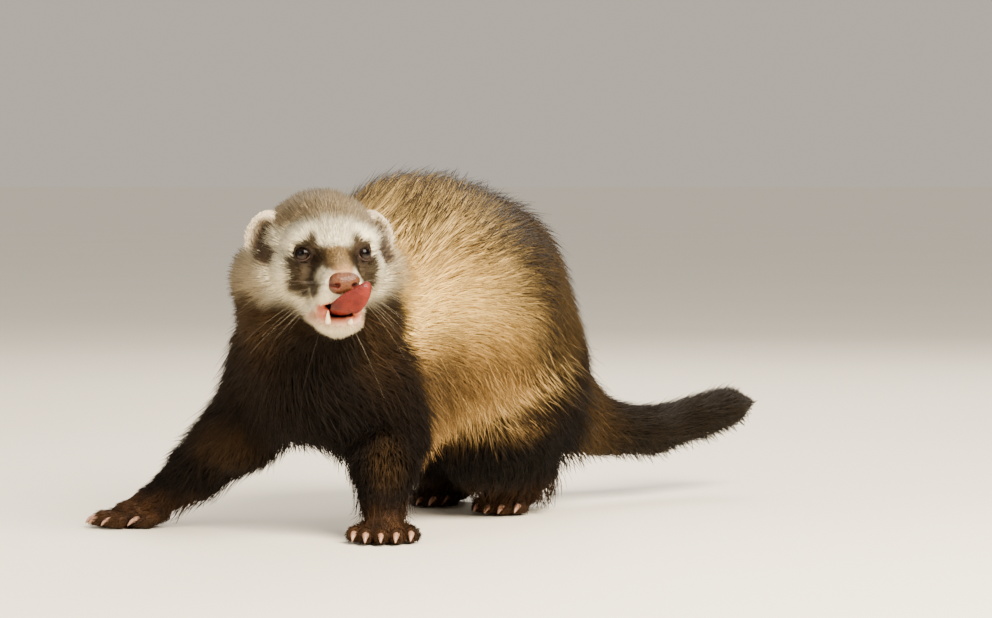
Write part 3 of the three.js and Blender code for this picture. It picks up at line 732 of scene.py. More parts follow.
# %% The face's colours
# The shapes are seen from the front, and are the same on both sides.
mask_shape = blend(3, [
    egg((13.2, 0, 2.2), (5.9, 9, 6.2)),
    taper((11.2, 0, 6), (9.8, 0, 11.4), 3.4, 1.0),
    taper((14.8, 0, -2), (14.4, 0, -8), 5.4, 4.4),
    taper((14.2, 0, -8), (13, 0, -12.6), 3.6, 1.5),
])
bridge_shape = blend(3, [
    egg((0, 0, 3.1), (10, 9, 4.6)),
    taper((0, 0, -0.5), (0, 0, -3), 6.6, 4.6),
])


def folded(q):
    """Points of the head brought to its left side."""
    return np.column_stack([np.abs(q[:, 0]), q[:, 1:]])


def face_colour(p):
    q = HEAD.local(p)
    near = folded(q)
    side, y, z = near.T
    front = near * (1, 0, 1)
    ragged = 0.7 * wander(q, 3, 3) + 0.6 * wander(q, 1.1, 5)
    before_ears = fall(y, -8, -3)
    outer = ramp(side + ragged * 2, 22, 33) * fall(z, 2, 12)
    bridge = bridge_shape(front)
    mask = fall(mask_shape(front) + ragged, -0.9, 2.6) * before_ears
    pad = blob(front, (9.5, 0, -9), (4.6, 9, 3.6), 0.6) * fall(y, -26, -20)
    lip_glow = fall(mouth(q), 1.5, 7) * ramp(-z, 18, 22)
    over_brow = ramp(z - 19.4 + 0.011 * side**2 + ragged * 1.5, -2.2, 2.6)
    behind_ears = ramp(y + ragged * 2, 4, 13) * ramp(z, -2, 8)
    return layered(
        WHITE,
        (CHEEK, 0.75 * outer),
        # Painted shade: dark brown in the mouth of each ear, on the coat of the head beside it.
        (EAR_HOLLOW_SHADE, 0.95 * blob(near, (26.4, -5, 8), (5.2, 6.5, 12), 0.3)),
        (BRIDGE, fall(bridge + ragged, -1.6, 1.4) * before_ears),
        (MASK, 0.6 * fall(bridge, -1, 1) * ramp(side, 2, 8) * before_ears),
        (MASK, mask * (0.98 + 0.02 * wander(q, 0.9, 7))),
        (MASK, 0.8 * blob(front, (8.2, 0, 3.4), (4.2, 9, 5.6), 0.6) * before_ears),
        (EYE_RING, 0.9 * blob(front, (12.9, 0, 3.2), (4.1, 9, 4.1), 0.45) * before_ears),
        (MASK, 0.4 * pad * ramp(wander(q * (0.5, 0.5, 1), 0.45, 4), 0, 0.25)),
        (LIP_PINK, 0.85 * lip_glow),
        (NOSE_FUR, 0.7 * blob(q, NOSE_AT, (7.5, 9, 7), 0.3) * ramp(z, -8, -5)),
        (CROWN, np.maximum(over_brow, behind_ears)),
    )


def face_share(p):
    """1 on the face, which ends along the cheeks and the jaw and before the nape."""
    q = HEAD.local(p)
    side, y, z = folded(q).T
    ragged = wander(q, 3, 6)
    border = -31 + 0.75 * np.minimum(side, 20) + 0.1 * np.maximum(side - 20, 0)
    border = border - 5 * fall(y, -32, -22)
    spread = 2.5 * ramp(side, 14, 24)
    above = ramp(z - border + ragged * (1.4 + 0.4 * spread), -2.5 - spread, 3.5 + spread)
    before = fall(y + ragged * 3, 8, 27)
    return fall(head(p), 1, 7) * above * before


def coat_colour(p):
    return layered(body_colour(p), (face_colour(p), face_share(p)))


def skin_colour(p):
    q = HEAD.local(p)
    within = fall(mouth(q), -0.9, 0.3) * (0.4 + 0.6 * ramp(q[:, 1], -42, -34))
    return layered(coat_colour(p), (LIP_PINK, lips(p)), (MOUTH_RED, within))


def darkening(p):
    """How far the tips of the coat are darker than its base, most on the hump and rump and least in the pool
    of light painted on the flank.
    """
    pale = ramp(coat_colour(p).mean(axis=1), 0.05, 0.3)
    upper = ramp(p[:, 2], 104, 142)
    return pale * (0.15 + 0.5 * upper + 0.5 * ramp(p @ BACKWARDS, 40, 70)) * (1 - 0.6 * lit_patch_share(p))


# %% [markdown]
# ## The lie of the coat
#
# From the nose over the head, down the neck, back to the tail's tip and down each leg to the toes. The
# nearest runs of flesh count most.

# %% Lie
def strands_of(stations):
    ways = [unit(np.subtract(b, a)) for (a, _), (b, _) in zip(stations, stations[1:])]
    return list(zip(chain(stations), ways))


RUNS = [NECK[::-1], SPINE[::-1], BELLY[::-1], TAIL, *LEGS.values()]
STRANDS = [strand for run in RUNS for strand in strands_of(run)]
for name, paw in PAWS.items():
    STRANDS.append((paw_field(name), SOLES[name].axes[:, 0]))
LIE_BLEND = 7
print("strands that the coat follows:", len(STRANDS))


def flank_lie(p):
    """Up behind the shoulder, level along the flank, and down over the rump and thigh."""
    slant = np.radians(np.clip(1.25 * (p[:, 2] - 92.5) - 0.8 * (p[:, 0] + 20), -80, 62))
    return unit(np.stack([np.cos(slant), 0 * slant + 0.4, np.sin(slant)], axis=1))


def body_lie(p):
    way = unit(sum(np.exp(-field(p) / LIE_BLEND)[:, None] * way for field, way in STRANDS))
    on_flank = (1 - fore_share(p, 0)) * fall(p @ TAILWARDS, 96, 118) * ramp(p[:, 2], 24, 44)
    return unit(between((way, flank_lie(p)), on_flank[:, None]))


def head_lie(p):
    q = HEAD.local(p)
    away = unit(q - (0, -46, -6))
    return unit((away + (0, 0.35, 0.05)) @ HEAD.axes.T)


def lie(p):
    share = ramp(head(p), 2, 14)[:, None]
    hang = (0, 0, -0.25) * fore_share(p, 0)[:, None]
    return unit(head_lie(p) * (1 - share) + (body_lie(p) + hang) * share)


# %% [markdown]
# ## Meshes
#
# `mesh_piece` makes an object from arrays, with its attributes, and sets it on the frame's one body.

# %% Pieces
def on_frame(name, mesh):
    """An object of the mesh that rides on the frame's one body."""
    made = bpy.data.objects.new(name, mesh)
    bpy.context.scene.collection.objects.link(made)
    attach(made, "root")
    print(name + ":", len(mesh.polygons), "faces")
    return made


def mesh_piece(name, points, faces, surface, attributes=None):
    """faces is one array with a row a face. Points are in the stance's millimetres."""
    mesh = bpy.data.meshes.new(name)
    corners = faces.shape[1]
    mesh.vertices.add(len(points))
    mesh.vertices.foreach_set("co", world(points).astype(np.float32).ravel())
    mesh.loops.add(faces.size)
    mesh.loops.foreach_set("vertex_index", faces.astype(np.int32).ravel())
    mesh.polygons.add(len(faces))
    mesh.polygons.foreach_set("loop_start", np.arange(0, faces.size, corners, dtype=np.int32))
    mesh.update(calc_edges=True)
    mesh.polygons.foreach_set("use_smooth", np.full(len(faces), True))
    for key, values in (attributes or {}).items():
        set_attribute(mesh, key, values)
    mesh.materials.append(surface)
    return on_frame(name, mesh)


def set_attribute(mesh, key, values):
    values = np.asarray(values, np.float32)
    if values.ndim == 1:
        mesh.attributes.new(key, "FLOAT", "POINT").data.foreach_set("value", values)
    else:
        rgba = np.concatenate([values, np.ones((len(values), 1), np.float32)], axis=1)
        mesh.attributes.new(key, "FLOAT_COLOR", "POINT").data.foreach_set("color", rgba.ravel())


# %% [markdown]
# ## The coat's material
#
# `Coat` is the marking that a tuft shows, `tip` how dark its end is, `along` runs from root to tip, and
# `tone` differs from tuft to tuft. The skin also has `wet`.

# %% Fur and skin
GUARD_TIP = linear(0x1f1308)


def fur_paint(wire):
    along = stored(wire, "along")
    brightness = 0.6 + 0.44 * stored(wire, "tone") + 0.12 * along
    lit = marking(wire).scaled(brightness * (0.85 + 0.3 * noise(wire, 90.0, detail=3.0)))
    dark = stored(wire, "tip") * along.ramp(0.1, 0.75)
    return {"Base Color": dark.mix(lit, GUARD_TIP)}


def skin_paint(wire):
    return {
        **fur_paint(wire),
        "Roughness": 0.75 - 0.5 * stored(wire, "wet"),
        "Normal": bump(noise(wire, 900.0, detail=4.0), Strength=0.35, Distance=0.0004),
    }


FUR = material("fur", fur_paint, Roughness=0.6, Specular_IOR_Level=0.1)
SKIN = material("skin", skin_paint, Specular_IOR_Level=0.15)

# %% [markdown]
# ## The skin
#
# The grid is finest round the head and fine round the paws.

# %% Skin
SKIN_MARKS = [
    ruler((-184, -138, 1.5), (-138, -114, 2.6), (-114, -34, 1.05), (-34, 20, 1.9), (20, 132, 2.8)),
    ruler((-50, 48, 1.05), (48, 82, 1.7), (82, 180, 2.0), (180, 248, 3.0)),
    ruler((-2.5, 13.5, 1.4), (13.5, 76, 2.6), (76, 152, 1.05), (152, 162, 2.4)),
]
skin_points, skin_squares = net_of(skin, SKIN_MARKS)
skin_points[:, 2] = np.maximum(skin_points[:, 2], 0)
FLESH = [name for name in frame["nodes"] if not name.startswith(("eye", "ear", "nose", "tongue"))]


def skin_attributes(colour, tone, wet):
    level = np.zeros(len(colour))
    return {"Coat": colour, "along": level, "tone": level + tone, "tip": level, "wet": level + wet}


skin_piece = mesh_piece("skin", skin_points, skin_squares, SKIN,
                        skin_attributes(skin_colour(skin_points), 0.4, 0.9 * lips(skin_points)))
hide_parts(*FLESH)

# %% The unwrap that tufts take their places from
def unwrap(piece):
    """Lays the piece's own shape flat in a map named OFBake, and returns each square's four corners."""
    bpy.ops.object.select_all(action="DESELECT")
    bpy.context.view_layer.objects.active = piece
    piece.select_set(True)
    bpy.ops.object.mode_set(mode="EDIT")
    bpy.ops.mesh.select_all(action="SELECT")
    bpy.ops.uv.smart_project(angle_limit=math.radians(66), island_margin=0.002)
    bpy.ops.object.mode_set(mode="OBJECT")
    layer = piece.data.uv_layers[0]
    layer.name = "OFBake"
    flat = np.zeros(len(piece.data.loops) * 2, np.float32)
    layer.data.foreach_get("uv", flat)
    return flat.reshape(-1, 4, 2)


skin_uv = unwrap(skin_piece)

# %% [markdown]
# ## The coat
#
# Tufts are thin closed wedges, each from a root sunk in the skin to a tip. Long ones bend round the body
# at a rising height over the skin. Those of the head are straight, and those of the legs and ears bend
# once. Guard hairs are longer, finer and dark at the tip, and stand out most.

# %% Roots
random = np.random.default_rng(11)
ROOT_SINK = 0.5


def scatter(points, squares, density, uv):
    """Seeded roots spread by area, density being each square's number of roots to a square mm."""
    corner = points[squares]
    halves = []
    for a, b, c in ((0, 1, 2), (0, 2, 3)):
        area = norm(np.cross(corner[:, b] - corner[:, a], corner[:, c] - corner[:, a])) / 2
        expected = area * density
        number = (expected + random.random(len(area))).astype(int)
        chosen = np.repeat(np.arange(len(area)), number)
        s, t = random.random((2, len(chosen)))
        over = s + t > 1
        s, t = np.where(over, 1 - s, s), np.where(over, 1 - t, t)
        weight = np.stack([1 - s - t, s, t], axis=1)[:, :, None]
        place = (corner[chosen][:, [a, b, c]] * weight).sum(axis=1)
        patch = (uv[chosen][:, [a, b, c]] * weight).sum(axis=1)
        halves.append((place, patch))
    return [np.concatenate(parts) for parts in zip(*halves)]


def swung(way, normal, angle):
    """Ways laid flat on the surface and turned about its normal."""
    flat = unit(way - normal * (way * normal).sum(axis=1, keepdims=True))
    side = np.cross(normal, flat)
    return flat * np.cos(angle)[:, None] + side * np.sin(angle)[:, None]


# %% Tufts
def tuft_faces(rings):
    faces = [(0, 2, 1)]
    for ring in range(rings - 1):
        for k in range(3):
            a, b = ring * 3 + k, ring * 3 + (k + 1) % 3
            faces += [(a, b, b + 3), (a, b + 3, a + 3)]
    tip = rings * 3
    faces += [(tip - 3 + k, tip - 3 + (k + 1) % 3, tip) for k in range(3)]
    return np.array(faces)


PATCH = 0.0014
THINNESS = 0.38
PIECE_LIMIT = 190000


def tuft_points(path, normal, width, profile):
    """Rings of three points along each path and its tip, and their places in a tuft's patch."""
    rings = len(path) - 1
    points, spread = [], []
    for n in range(rings):
        along = unit(path[n + 1] - path[max(n - 1, 0)])
        side = unit(np.cross(along, normal))
        up = np.cross(side, along)
        half = (width * profile[n] / 2)[:, None]
        points += [path[n] - side * half, path[n] + side * half, path[n] + up * half * 2 * THINNESS]
        v = PATCH * (2 * n / rings - 1)
        spread += [(-PATCH, v), (PATCH, v), (0, v)]
    return np.stack([*points, path[-1]], axis=1), np.array([*spread, (0, PATCH)])


def coat_pieces(name, path, normal, width, profile, patch, attributes):
    """Tufts along paths (stations, tufts, 3) as joined meshes, each with its own patch of the unwrap."""
    points, spread = tuft_points(path, normal, width, profile)
    total, per_tuft = points.shape[:2]
    rings = len(path) - 1
    own_faces = tuft_faces(rings)
    along = np.append(np.repeat(np.arange(rings) / rings, 3), 1.0)
    most = PIECE_LIMIT // len(own_faces)
    for number, first in enumerate(range(0, total, most)):
        part = slice(first, min(first + most, total))
        size = part.stop - part.start
        faces = (own_faces + np.arange(size)[:, None, None] * per_tuft).reshape(-1, 3)
        rows = {key: np.repeat(value[part], per_tuft, axis=0) for key, value in attributes.items()}
        rows["along"] = np.tile(along, size)
        made = mesh_piece(f"{name}_{number}", points[part].reshape(-1, 3), faces, FUR, rows)
        places = (patch[part][:, None] + spread)[:, own_faces.ravel()]
        layer = made.data.uv_layers.new(name="OFBake")
        layer.data.foreach_set("uv", places.astype(np.float32).ravel())
    print(f"{name}: {total} tufts")


# %% Where the skin is bare, and roots on the rest
LIP_LIMIT = 0.45
EYE_BARE_RADIUS = 3.55
EYE_BARE_REACH = 7
SOLE_LIMIT = 1.5


def bareness(p, normal):
    """True on the eyes, the nose, the lips and the soles."""
    q = HEAD.local(p)
    bare = lips(p) > LIP_LIMIT
    bare |= egg(NOSE_AT, (5.9, 4.7, 4.2))(q) < 0.5
    for place in EYES.values():
        near = place.local(p)
        aside = norm(near[:, :2] * (0.92, 1.0))
        bare |= (near[:, 2] > 0) & (near[:, 2] < EYE_BARE_REACH) & (aside < EYE_BARE_RADIUS)
    for place in EARS.values():
        bare |= egg((0, -1, 2), (7.5, 9.5, 5))(place.local(p)) < 0
    return bare | ((p[:, 2] < SOLE_LIMIT) & (normal[:, 2] < -0.5))


def skin_level(p):
    """The skin as it would be without the lids."""
    return outline(p) + depth(p)


def rooted(density):
    """Seeded roots on the furred skin, with their patches and the ways out of the skin."""
    root, patch = scatter(skin_points, skin_squares, density, skin_uv)
    normal = way_out(skin_level, root)
    furred = ~bareness(root, normal)
    return root[furred], patch[furred], normal[furred]


# %% Tones and paths of tufts
BEND = 0.8
CLIMB_LIMIT = 8


def clumped_tone(root, size):
    """Tones between 0 and 1 that neighbouring tufts partly share."""
    return np.clip(0.5 + 0.45 * wander(root, size, 10) + random.normal(0, 0.28, len(root)), 0, 1)


def fading(near, far):
    """How far the tips of tufts darken where they reach from a pale marking over a dark one."""
    return np.clip(1 - far.mean(axis=1) / near.mean(axis=1), 0, 1)


def bent_path(root, normal, way, length, lift, shares):
    """Stations of tufts that bend with the body and end at a height over the skin."""
    path = [root - normal * ROOT_SINK]
    here = root
    before = 0
    for share in shares:
        here = here + way(here) * (length * (share - before))[:, None]
        height, rising = slope(skin_level, here)
        climb = (lift * share**BEND - height) / np.maximum((rising * rising).sum(axis=1), 0.2)
        here = here + rising * np.clip(climb, -CLIMB_LIMIT, CLIMB_LIMIT)[:, None]
        path.append(here)
        before = share
    return np.stack(path)


def reached(root, normal, way, length, lift):
    """Points a length along each way and a lift over each root."""
    return root + way * length[:, None] + normal * lift[:, None]


def short_path(root, normal, way, length, lift, bow, sink=ROOT_SINK):
    """Stations of short tufts, with one bend halfway at a share of the lift."""
    halfway = reached(root, normal, way, length * 0.5, lift * bow)
    return np.stack([root - normal * sink, halfway, reached(root, normal, way, length, lift)])


middle = skin_points[skin_squares].mean(axis=1)
longness = rise(middle) / COAT_RISE

# %% Long coat of the trunk, neck, tail and upper legs
LONG_DENSITY = 1.25
LONG_LENGTH = 18.0
LONG_WIDTH = 0.6
GUARD_SHARE = 0.27
NECK_RUFF = (-112, 20, 103)

root, patch, normal = rooted(LONG_DENSITY * ramp(longness, 0.12, 0.4))
count = len(root)
guard = random.random(count) < GUARD_SHARE
long = rise(root) / COAT_RISE
length = LONG_LENGTH * (0.35 + 0.65 * long) * random.uniform(0.7, 1.25, count) * np.where(guard, 1.35, 1)
lift = rise(root) + FUR_DEPTH + random.uniform(-1.8, 0.5, count)
standing = random.uniform(0.4, 1, count) * random.uniform(0.2, 1, count) * long
standing = standing * (4.5 + 5 * ramp(root[:, 2], 112, 142) + fore_share(root, 0))
lift = lift + np.where(guard, standing, 0)
lift = lift + 4 * blob(root, NECK_RUFF, (16, 30, 18), 0.6) * random.random(count)
swing = 0.26 * wander(root, 10, 4) + 0.12 * wander(root, 4, 7) + random.normal(0, 0.12, count)
path = bent_path(root, normal, lambda here: swung(lie(here), normal, swing), length, lift, (0.5, 1))
width = LONG_WIDTH * random.uniform(0.7, 1.3, count) * np.where(guard, 0.7, 1)
width = width * (0.8 + 0.2 * ramp(root[:, 2], 70, 105))
colour = coat_colour((path[1] + path[2]) / 2)
tone = 0.5 + (clumped_tone(root, 1.6) - 0.5) * (0.6 + 0.4 * ramp(root[:, 2], 104, 142))
dark = darkening(root) * np.where(guard, 1.6, random.random(count) ** 3)
dark = dark + guard * (0.3 + 0.3 * ramp(root[:, 2], 100, 135)) + fading(colour, coat_colour(path[2]))
coat_pieces("coat_long", path, normal, width, (0.85, 1), patch,
            {"Coat": colour, "tone": tone - 0.1 * guard, "tip": np.clip(dark, 0, 1)})

# %% Loose hairs under the chest, behind the legs and under the thigh
FRINGE_DENSITY = 0.2
THIGH_DENSITY = 0.3
FRINGE_LENGTH = 21.0

down = -way_out(skin_level, middle)[:, 2]
hanging = ramp(down, -0.35, 0.3) * fall(middle[:, 2], 70, 84) * ramp(middle[:, 2], 10, 18)
thigh = ramp(middle[:, 1], 72, 90) * fall(middle[:, 2], 44, 54)
thigh = thigh * fall(middle @ TAILWARDS, 118, 130)
root, patch, normal = rooted(hanging * between((FRINGE_DENSITY, THIGH_DENSITY), thigh))
count = len(root)
length = FRINGE_LENGTH * random.uniform(0.5, 1.15, count)
length = length * (1 - 0.4 * ramp(root[:, 1], 72, 90) * ramp(root[:, 2], 30, 40))
length = length * (1 - 0.4 * ramp(root @ TAILWARDS, 120, 140))
behind = ramp(root @ BACKWARDS, 60, 84) * fall(root @ TAILWARDS, 118, 134)
lift = rise(root) + FUR_DEPTH + random.uniform(0, 5, count) * (1 + 1.4 * behind)
swing = random.normal(0, 0.3, count)


def hanging_way(here):
    return unit(swung(lie(here), normal, swing) + (0, 0, -0.9))


path = bent_path(root, normal, hanging_way, length, lift, (0.4, 0.75, 1))
path[..., 2] = np.maximum(path[..., 2], 2)
colour = coat_colour(path[1])
coat_pieces("coat_fringe", path, normal, random.uniform(0.3, 0.5, count), (0.8, 1, 0.7), patch, {
    "Coat": colour,
    "tone": 0.7 * random.random(count),
    "tip": fading(colour, coat_colour(path[3])),
})

# %% Fine coat of the head
HEAD_LENGTH = (2.1, 7.6)
HEAD_WIDTH = (0.28, 0.62)
HEAD_DENSITY = (8.5, 4.6)


def nose_distance(p):
    return norm(HEAD.local(p) - NOSE_AT)


def beside_ears(p):
    """1 on the cheek's edge before each ear, whose hairs cross the ear's mouth."""
    return fall(norm(folded(HEAD.local(p)) - (19.5, -8, 8)), 2, 7)


on_head = fall(head(middle), 1, 8)
not_long = fall(longness, 0.3, 0.75)
density = between(HEAD_DENSITY, ramp(nose_distance(middle), 14, 46)) * (1 - 0.45 * beside_ears(middle))
root, patch, normal = rooted(not_long * on_head * density)
count = len(root)
back = ramp(nose_distance(root), 8, 48)
length = (between(HEAD_LENGTH, back) + 2.8 * beside_ears(root)) * random.uniform(0.75, 1.2, count)
lift = length * (0.2 + 0.1 * back) * random.uniform(0.5, 1.4, count)
lift = lift * (1 + 0.8 * ramp(np.abs(HEAD.local(root)[:, 0]), 23, 31))
swing = 0.2 * wander(root, 5, 5) + 0.22 * wander(root, 0.9, 9) + random.normal(0, 0.12, count)
tip = reached(root, normal, swung(lie(root), normal, swing), length, lift)
width = between(HEAD_WIDTH, back) * random.uniform(0.8, 1.2, count)
shown = root + (tip - root) * (0.72 - 0.6 * beside_ears(root))[:, None]
coat_pieces("coat_head", np.stack([root - normal * ROOT_SINK, tip]), normal, width, (1,), patch, {
    "Coat": coat_colour(shown),
    "tone": 0.25 + 0.75 * clumped_tone(root, 0.8),
    "tip": random.random(count) * darkening(root),
})

# %% Short coat of the lower legs, paws and tail's tip
LEG_DENSITY = 1.22
LEG_LENGTH = (2.8, 10.0)
LEG_WIDTH = (0.36, 0.6)
PAW_FUR = 1.9

on_legs = (1 - on_head) * not_long
root, patch, normal = rooted(LEG_DENSITY * on_legs * between((PAW_FUR, 1), ramp(middle[:, 2], 10, 22)))
count = len(root)
up_leg = ramp(root[:, 2], 9, 42) * (1 - 0.7 * ramp(root @ TAILWARDS, 200, 240))
length = between(LEG_LENGTH, up_leg) * random.uniform(0.7, 1.2, count)
lift = length * (0.24 + 0.06 * up_leg) * random.uniform(0.4, 1.4, count)
lift = lift * np.where(random.random(count) < 0.12, 1 + up_leg, 1)
swing = 0.25 * wander(root, 6, 8) + random.normal(0, 0.2, count)
path = short_path(root, normal, swung(lie(root), normal, swing), length, lift, bow=0.62)
colour = coat_colour(path[1])
path[..., 2] = np.maximum(path[..., 2], 0.3)
width = between(LEG_WIDTH, up_leg) * random.uniform(0.8, 1.2, count)
coat_pieces("coat_leg", path, normal, width, (1, 0.8), patch, {
    "Coat": colour,
    "tone": random.random(count),
    "tip": 0.1 * random.random(count),
})

# %% [markdown]
# ## Ears
#
# Thin cups with a pale rim, furred short outside, and dark within with painted shade.

# %% Ears
EAR_INSET = 0.35
EAR_DENSITY = (6.5, 3.2)
EAR_WIDTH = (0.22, 0.34)
EAR_MARKS = [ruler((-13, 13, 0.6)), ruler((-14, 14, 0.6)), ruler((-7, 6, 0.5))]
ear_hollow = egg((0, -2, 3), (7.6, 9.4, 5.2))
ear_shape = carve(1.2, egg((0, 0, -1), (10.4, 12, 4.6)), ear_hollow)


def ear_field(place):
    """The ear's own skin, down to a little way under the head's."""
    return lambda p: np.maximum(ear_shape(place.local(p)) + EAR_INSET, -skin_level(p) - 0.6)


def ear_colour(q):
    # The pale rim, with shade painted dark in the ear's hollow.
    return layered(EAR_RIM, (EAR_HOLLOW_SHADE, blob(q, (0, -2.4, 3), (7, 10, 7), 0.18)))


for name, place in EARS.items():
    field = ear_field(place)
    points, squares = net_of(field, EAR_MARKS, place)
    ear = mesh_piece("ear_skin_" + name, points, squares, SKIN,
                     skin_attributes(ear_colour(place.local(points)), 0.5, 0))
    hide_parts("ear_" + name)
    within = ear_hollow(place.local(points[squares].mean(axis=1))) < 0.8
    root, patch = scatter(points, squares, between(EAR_DENSITY, within), unwrap(ear))
    normal = way_out(field, root)
    kept = skin_level(root) > -0.2
    root, patch, normal = root[kept], patch[kept], normal[kept]
    q = place.local(root)
    inner = fall(ear_hollow(q), 0.3, 1.2)
    spread = q * (1, 1, 0) + (0, 11, 0) + inner[:, None] * (0, 0, 5)
    way = swung(unit(spread) @ place.axes.T, normal, random.normal(0, 0.25, len(root)))
    length = (1.5 + 2.2 * inner) * random.uniform(0.7, 1.25, len(root))
    path = short_path(root, normal, way, length, length * (0.2 + 0.2 * inner), bow=0.6, sink=0.15)
    coat_pieces("coat_ear_" + name, path, normal, random.uniform(*EAR_WIDTH, len(root)), (1, 0.8), patch, {
        "Coat": ear_colour(q),
        "tone": random.random(len(root)),
        "tip": 0.2 * random.random(len(root)),
    })

# %% [markdown]
# ## Bare parts of the face
#
# Eyes with pupil, iris and a bulging cornea, the rims of the lids, the nose, the tongue and the teeth.

# %% Tubes and smooth stations
def smooth_stations(stations, steps):
    """Points between stations given as rows, on a curve that passes through each."""
    rows = np.array(stations, float)
    rows = np.vstack([2 * rows[0] - rows[1], rows, 2 * rows[-1] - rows[-2]])
    out = []
    for a, b, c, d in zip(rows, rows[1:], rows[2:], rows[3:]):
        for t in np.arange(steps) / steps:
            out.append(0.5 * (2 * b + (c - a) * t + (2 * a - 5 * b + 4 * c - d) * t**2
                              + (3 * b - a - 3 * c + d) * t**3))
    out.append(rows[-2])
    return np.array(out)


def tube(path, wide, thick, across, sides, closed=False):
    """Oval rings along a path, wide the way that across points. An open tube's ends are closed by fans."""
    path = np.array(path, float)
    if closed:
        along = unit(np.roll(path, -1, axis=0) - np.roll(path, 1, axis=0))
    else:
        along = unit(np.gradient(path, axis=0))
    across = np.broadcast_to(across, path.shape)
    width = unit(across - along * (across * along).sum(axis=1, keepdims=True))
    out = np.cross(along, width)
    turn = 2 * math.pi * np.arange(sides) / sides
    wide, thick = (np.broadcast_to(size, len(path))[:, None, None] for size in (wide, thick))
    rings = (path[:, None]
             + width[:, None] * (np.cos(turn)[:, None] * wide)
             + out[:, None] * (np.sin(turn)[:, None] * thick))
    points = rings.reshape(-1, 3)
    count = len(path)
    faces = []
    for n in range(count if closed else count - 1):
        for k in range(sides):
            a, b = n * sides + k, n * sides + (k + 1) % sides
            c, d = (b + sides) % (count * sides), (a + sides) % (count * sides)
            faces += [(a, b, c), (a, c, d)]
    if not closed:
        points = np.vstack([points, path[0], path[-1]])
        first, last = count * sides, (count - 1) * sides
        for k in range(sides):
            faces.append((first, (k + 1) % sides, k))
            faces.append((first + 1, last + k, last + (k + 1) % sides))
    return points, np.array(faces)


def joined(parts):
    """Several (points, faces) as one."""
    points, faces, start = [], [], 0
    for own_points, own_faces in parts:
        points.append(own_points)
        faces.append(own_faces + start)
        start += len(own_points)
    return np.concatenate(points), np.concatenate(faces)


# %% Eyes
PUPIL = linear(0x020101)
IRIS = linear(0x100804)
# A grey-brown for the floor's reflection, painted on the lower part of the iris.
IRIS_FLOOR_REFLECTION = linear(0x3f372e)
WHITE_OF_EYE = linear(0x0c0705)
EYE_INSET = 0.05
CORNEA_BULGE = 0.3
CORNEA_SPREAD = 0.62


def eye_paint(wire):
    flecks = noise(wire, 2600.0).ramp(0.45, 0.8) * 0.6
    return {"Base Color": flecks.mix(marking(wire), PUPIL)}


EYE = material("eye", eye_paint, Roughness=0.3, Specular_IOR_Level=0.0, Coat_Weight=0.3, Coat_Roughness=0.01,
               Coat_IOR=1.36)
for name, place in EYES.items():
    polar = np.linspace(0, math.pi, 33)
    radius = EYE_RADIUS - EYE_INSET + CORNEA_BULGE * np.exp(-((polar / CORNEA_SPREAD) ** 2))
    path = np.stack([0 * polar, 0 * polar, np.cos(polar) * radius], axis=1)
    girth = np.maximum(np.sin(polar) * radius, 1e-4)
    points, faces = tube(path, girth, girth, (1, 0, 0), 40)
    angle = np.arctan2(np.hypot(points[:, 0], points[:, 1]), points[:, 2])
    colour = layered(
        PUPIL,
        (IRIS, ramp(angle, 0.3, 0.42)),
        # Painted reflection: the pale floor shows in the lower part of the eye, as a lighter grey-brown over
        # the iris.
        (IRIS_FLOOR_REFLECTION, 0.6 * ramp(-points[:, 1], 0.6, 1.6) * ramp(angle, 0.25, 0.4)),
        (WHITE_OF_EYE, ramp(angle, 0.72, 0.85)),
    )
    eye = mesh_piece("eyeball_" + name, place.stance(points), faces, EYE, {"Coat": colour})
    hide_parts("eye_" + name)

# %% Rims of the lids
LID_RIM = (3.52, 3.04)
LID_THICKNESS = 0.42
LID_LIFT = 0.15
LID_COLOURS = (linear(0x22150f), linear(0x3a261c))


def lid_paint(wire):
    grain = noise(wire, 1500.0)
    return {"Base Color": grain.mix(*LID_COLOURS), "Normal": bump(grain, Distance=0.0002)}


LID = material("lid", lid_paint, Roughness=0.4, Specular_IOR_Level=0.2)
for name, place in EYES.items():
    turn = 2 * math.pi * np.arange(40) / 40
    ring = np.stack([np.cos(turn), np.sin(turn)], axis=1) * LID_RIM
    height = np.sqrt((EYE_RADIUS + LID_LIFT) ** 2 - (ring**2).sum(axis=1))
    path = np.column_stack([ring, height])
    points, faces = tube(path, LID_THICKNESS, LID_THICKNESS, (0, 0, 1), 10, closed=True)
    mesh_piece("lid_rim_" + name, place.stance(points), faces, LID)

# %% Nose
NOSE_BROWN = linear(0x553012)
NOSE_PINK = linear(0x5f3418)
NOSE_EDGE = linear(0x43220f)
NOSTRIL = linear(0x4f150f)
NOSE_DEEP = linear(0x4f2a16)
NOSE_MARKS = [ruler((-8, 8, 0.4)), ruler((-52, -38, 0.4)), ruler((-14.5, -2.5, 0.4))]
nostrils = blend(0.5, [
    *egg_pair((3.5, -49.2, -9.2), (1.05, 2.2, 0.95)),
    *taper_pair((3.8, -48.9, -9.5), (6.6, -46, -8.4), 0.8, 0.45),
])
groove = taper((0, -50.3, -8.6), (0, -49.2, -13), 0.45, 0.6)
nose_pad = blend(2.5, [
    egg(NOSE_AT, (5.4, 4.6, 4.3)),
    *egg_pair((3.1, -46.2, -6.9), (3.1, 3.1, 2.5)),
    *egg_pair((3.6, -45.6, -10.2), (2.4, 3, 2.1)),
])
nose_shape = carve(0.6, carve(0.8, nose_pad, nostrils), groove)


def nose_paint(wire):
    grain = pebbles(wire, 1100.0)
    return {
        "Base Color": (grain.ramp(0.25, 0.7) * 0.7).mix(marking(wire), NOSE_DEEP),
        "Roughness": 0.3 + 0.25 * grain,
        "Normal": bump(1.0 - grain, Distance=0.00035, Strength=0.8),
    }


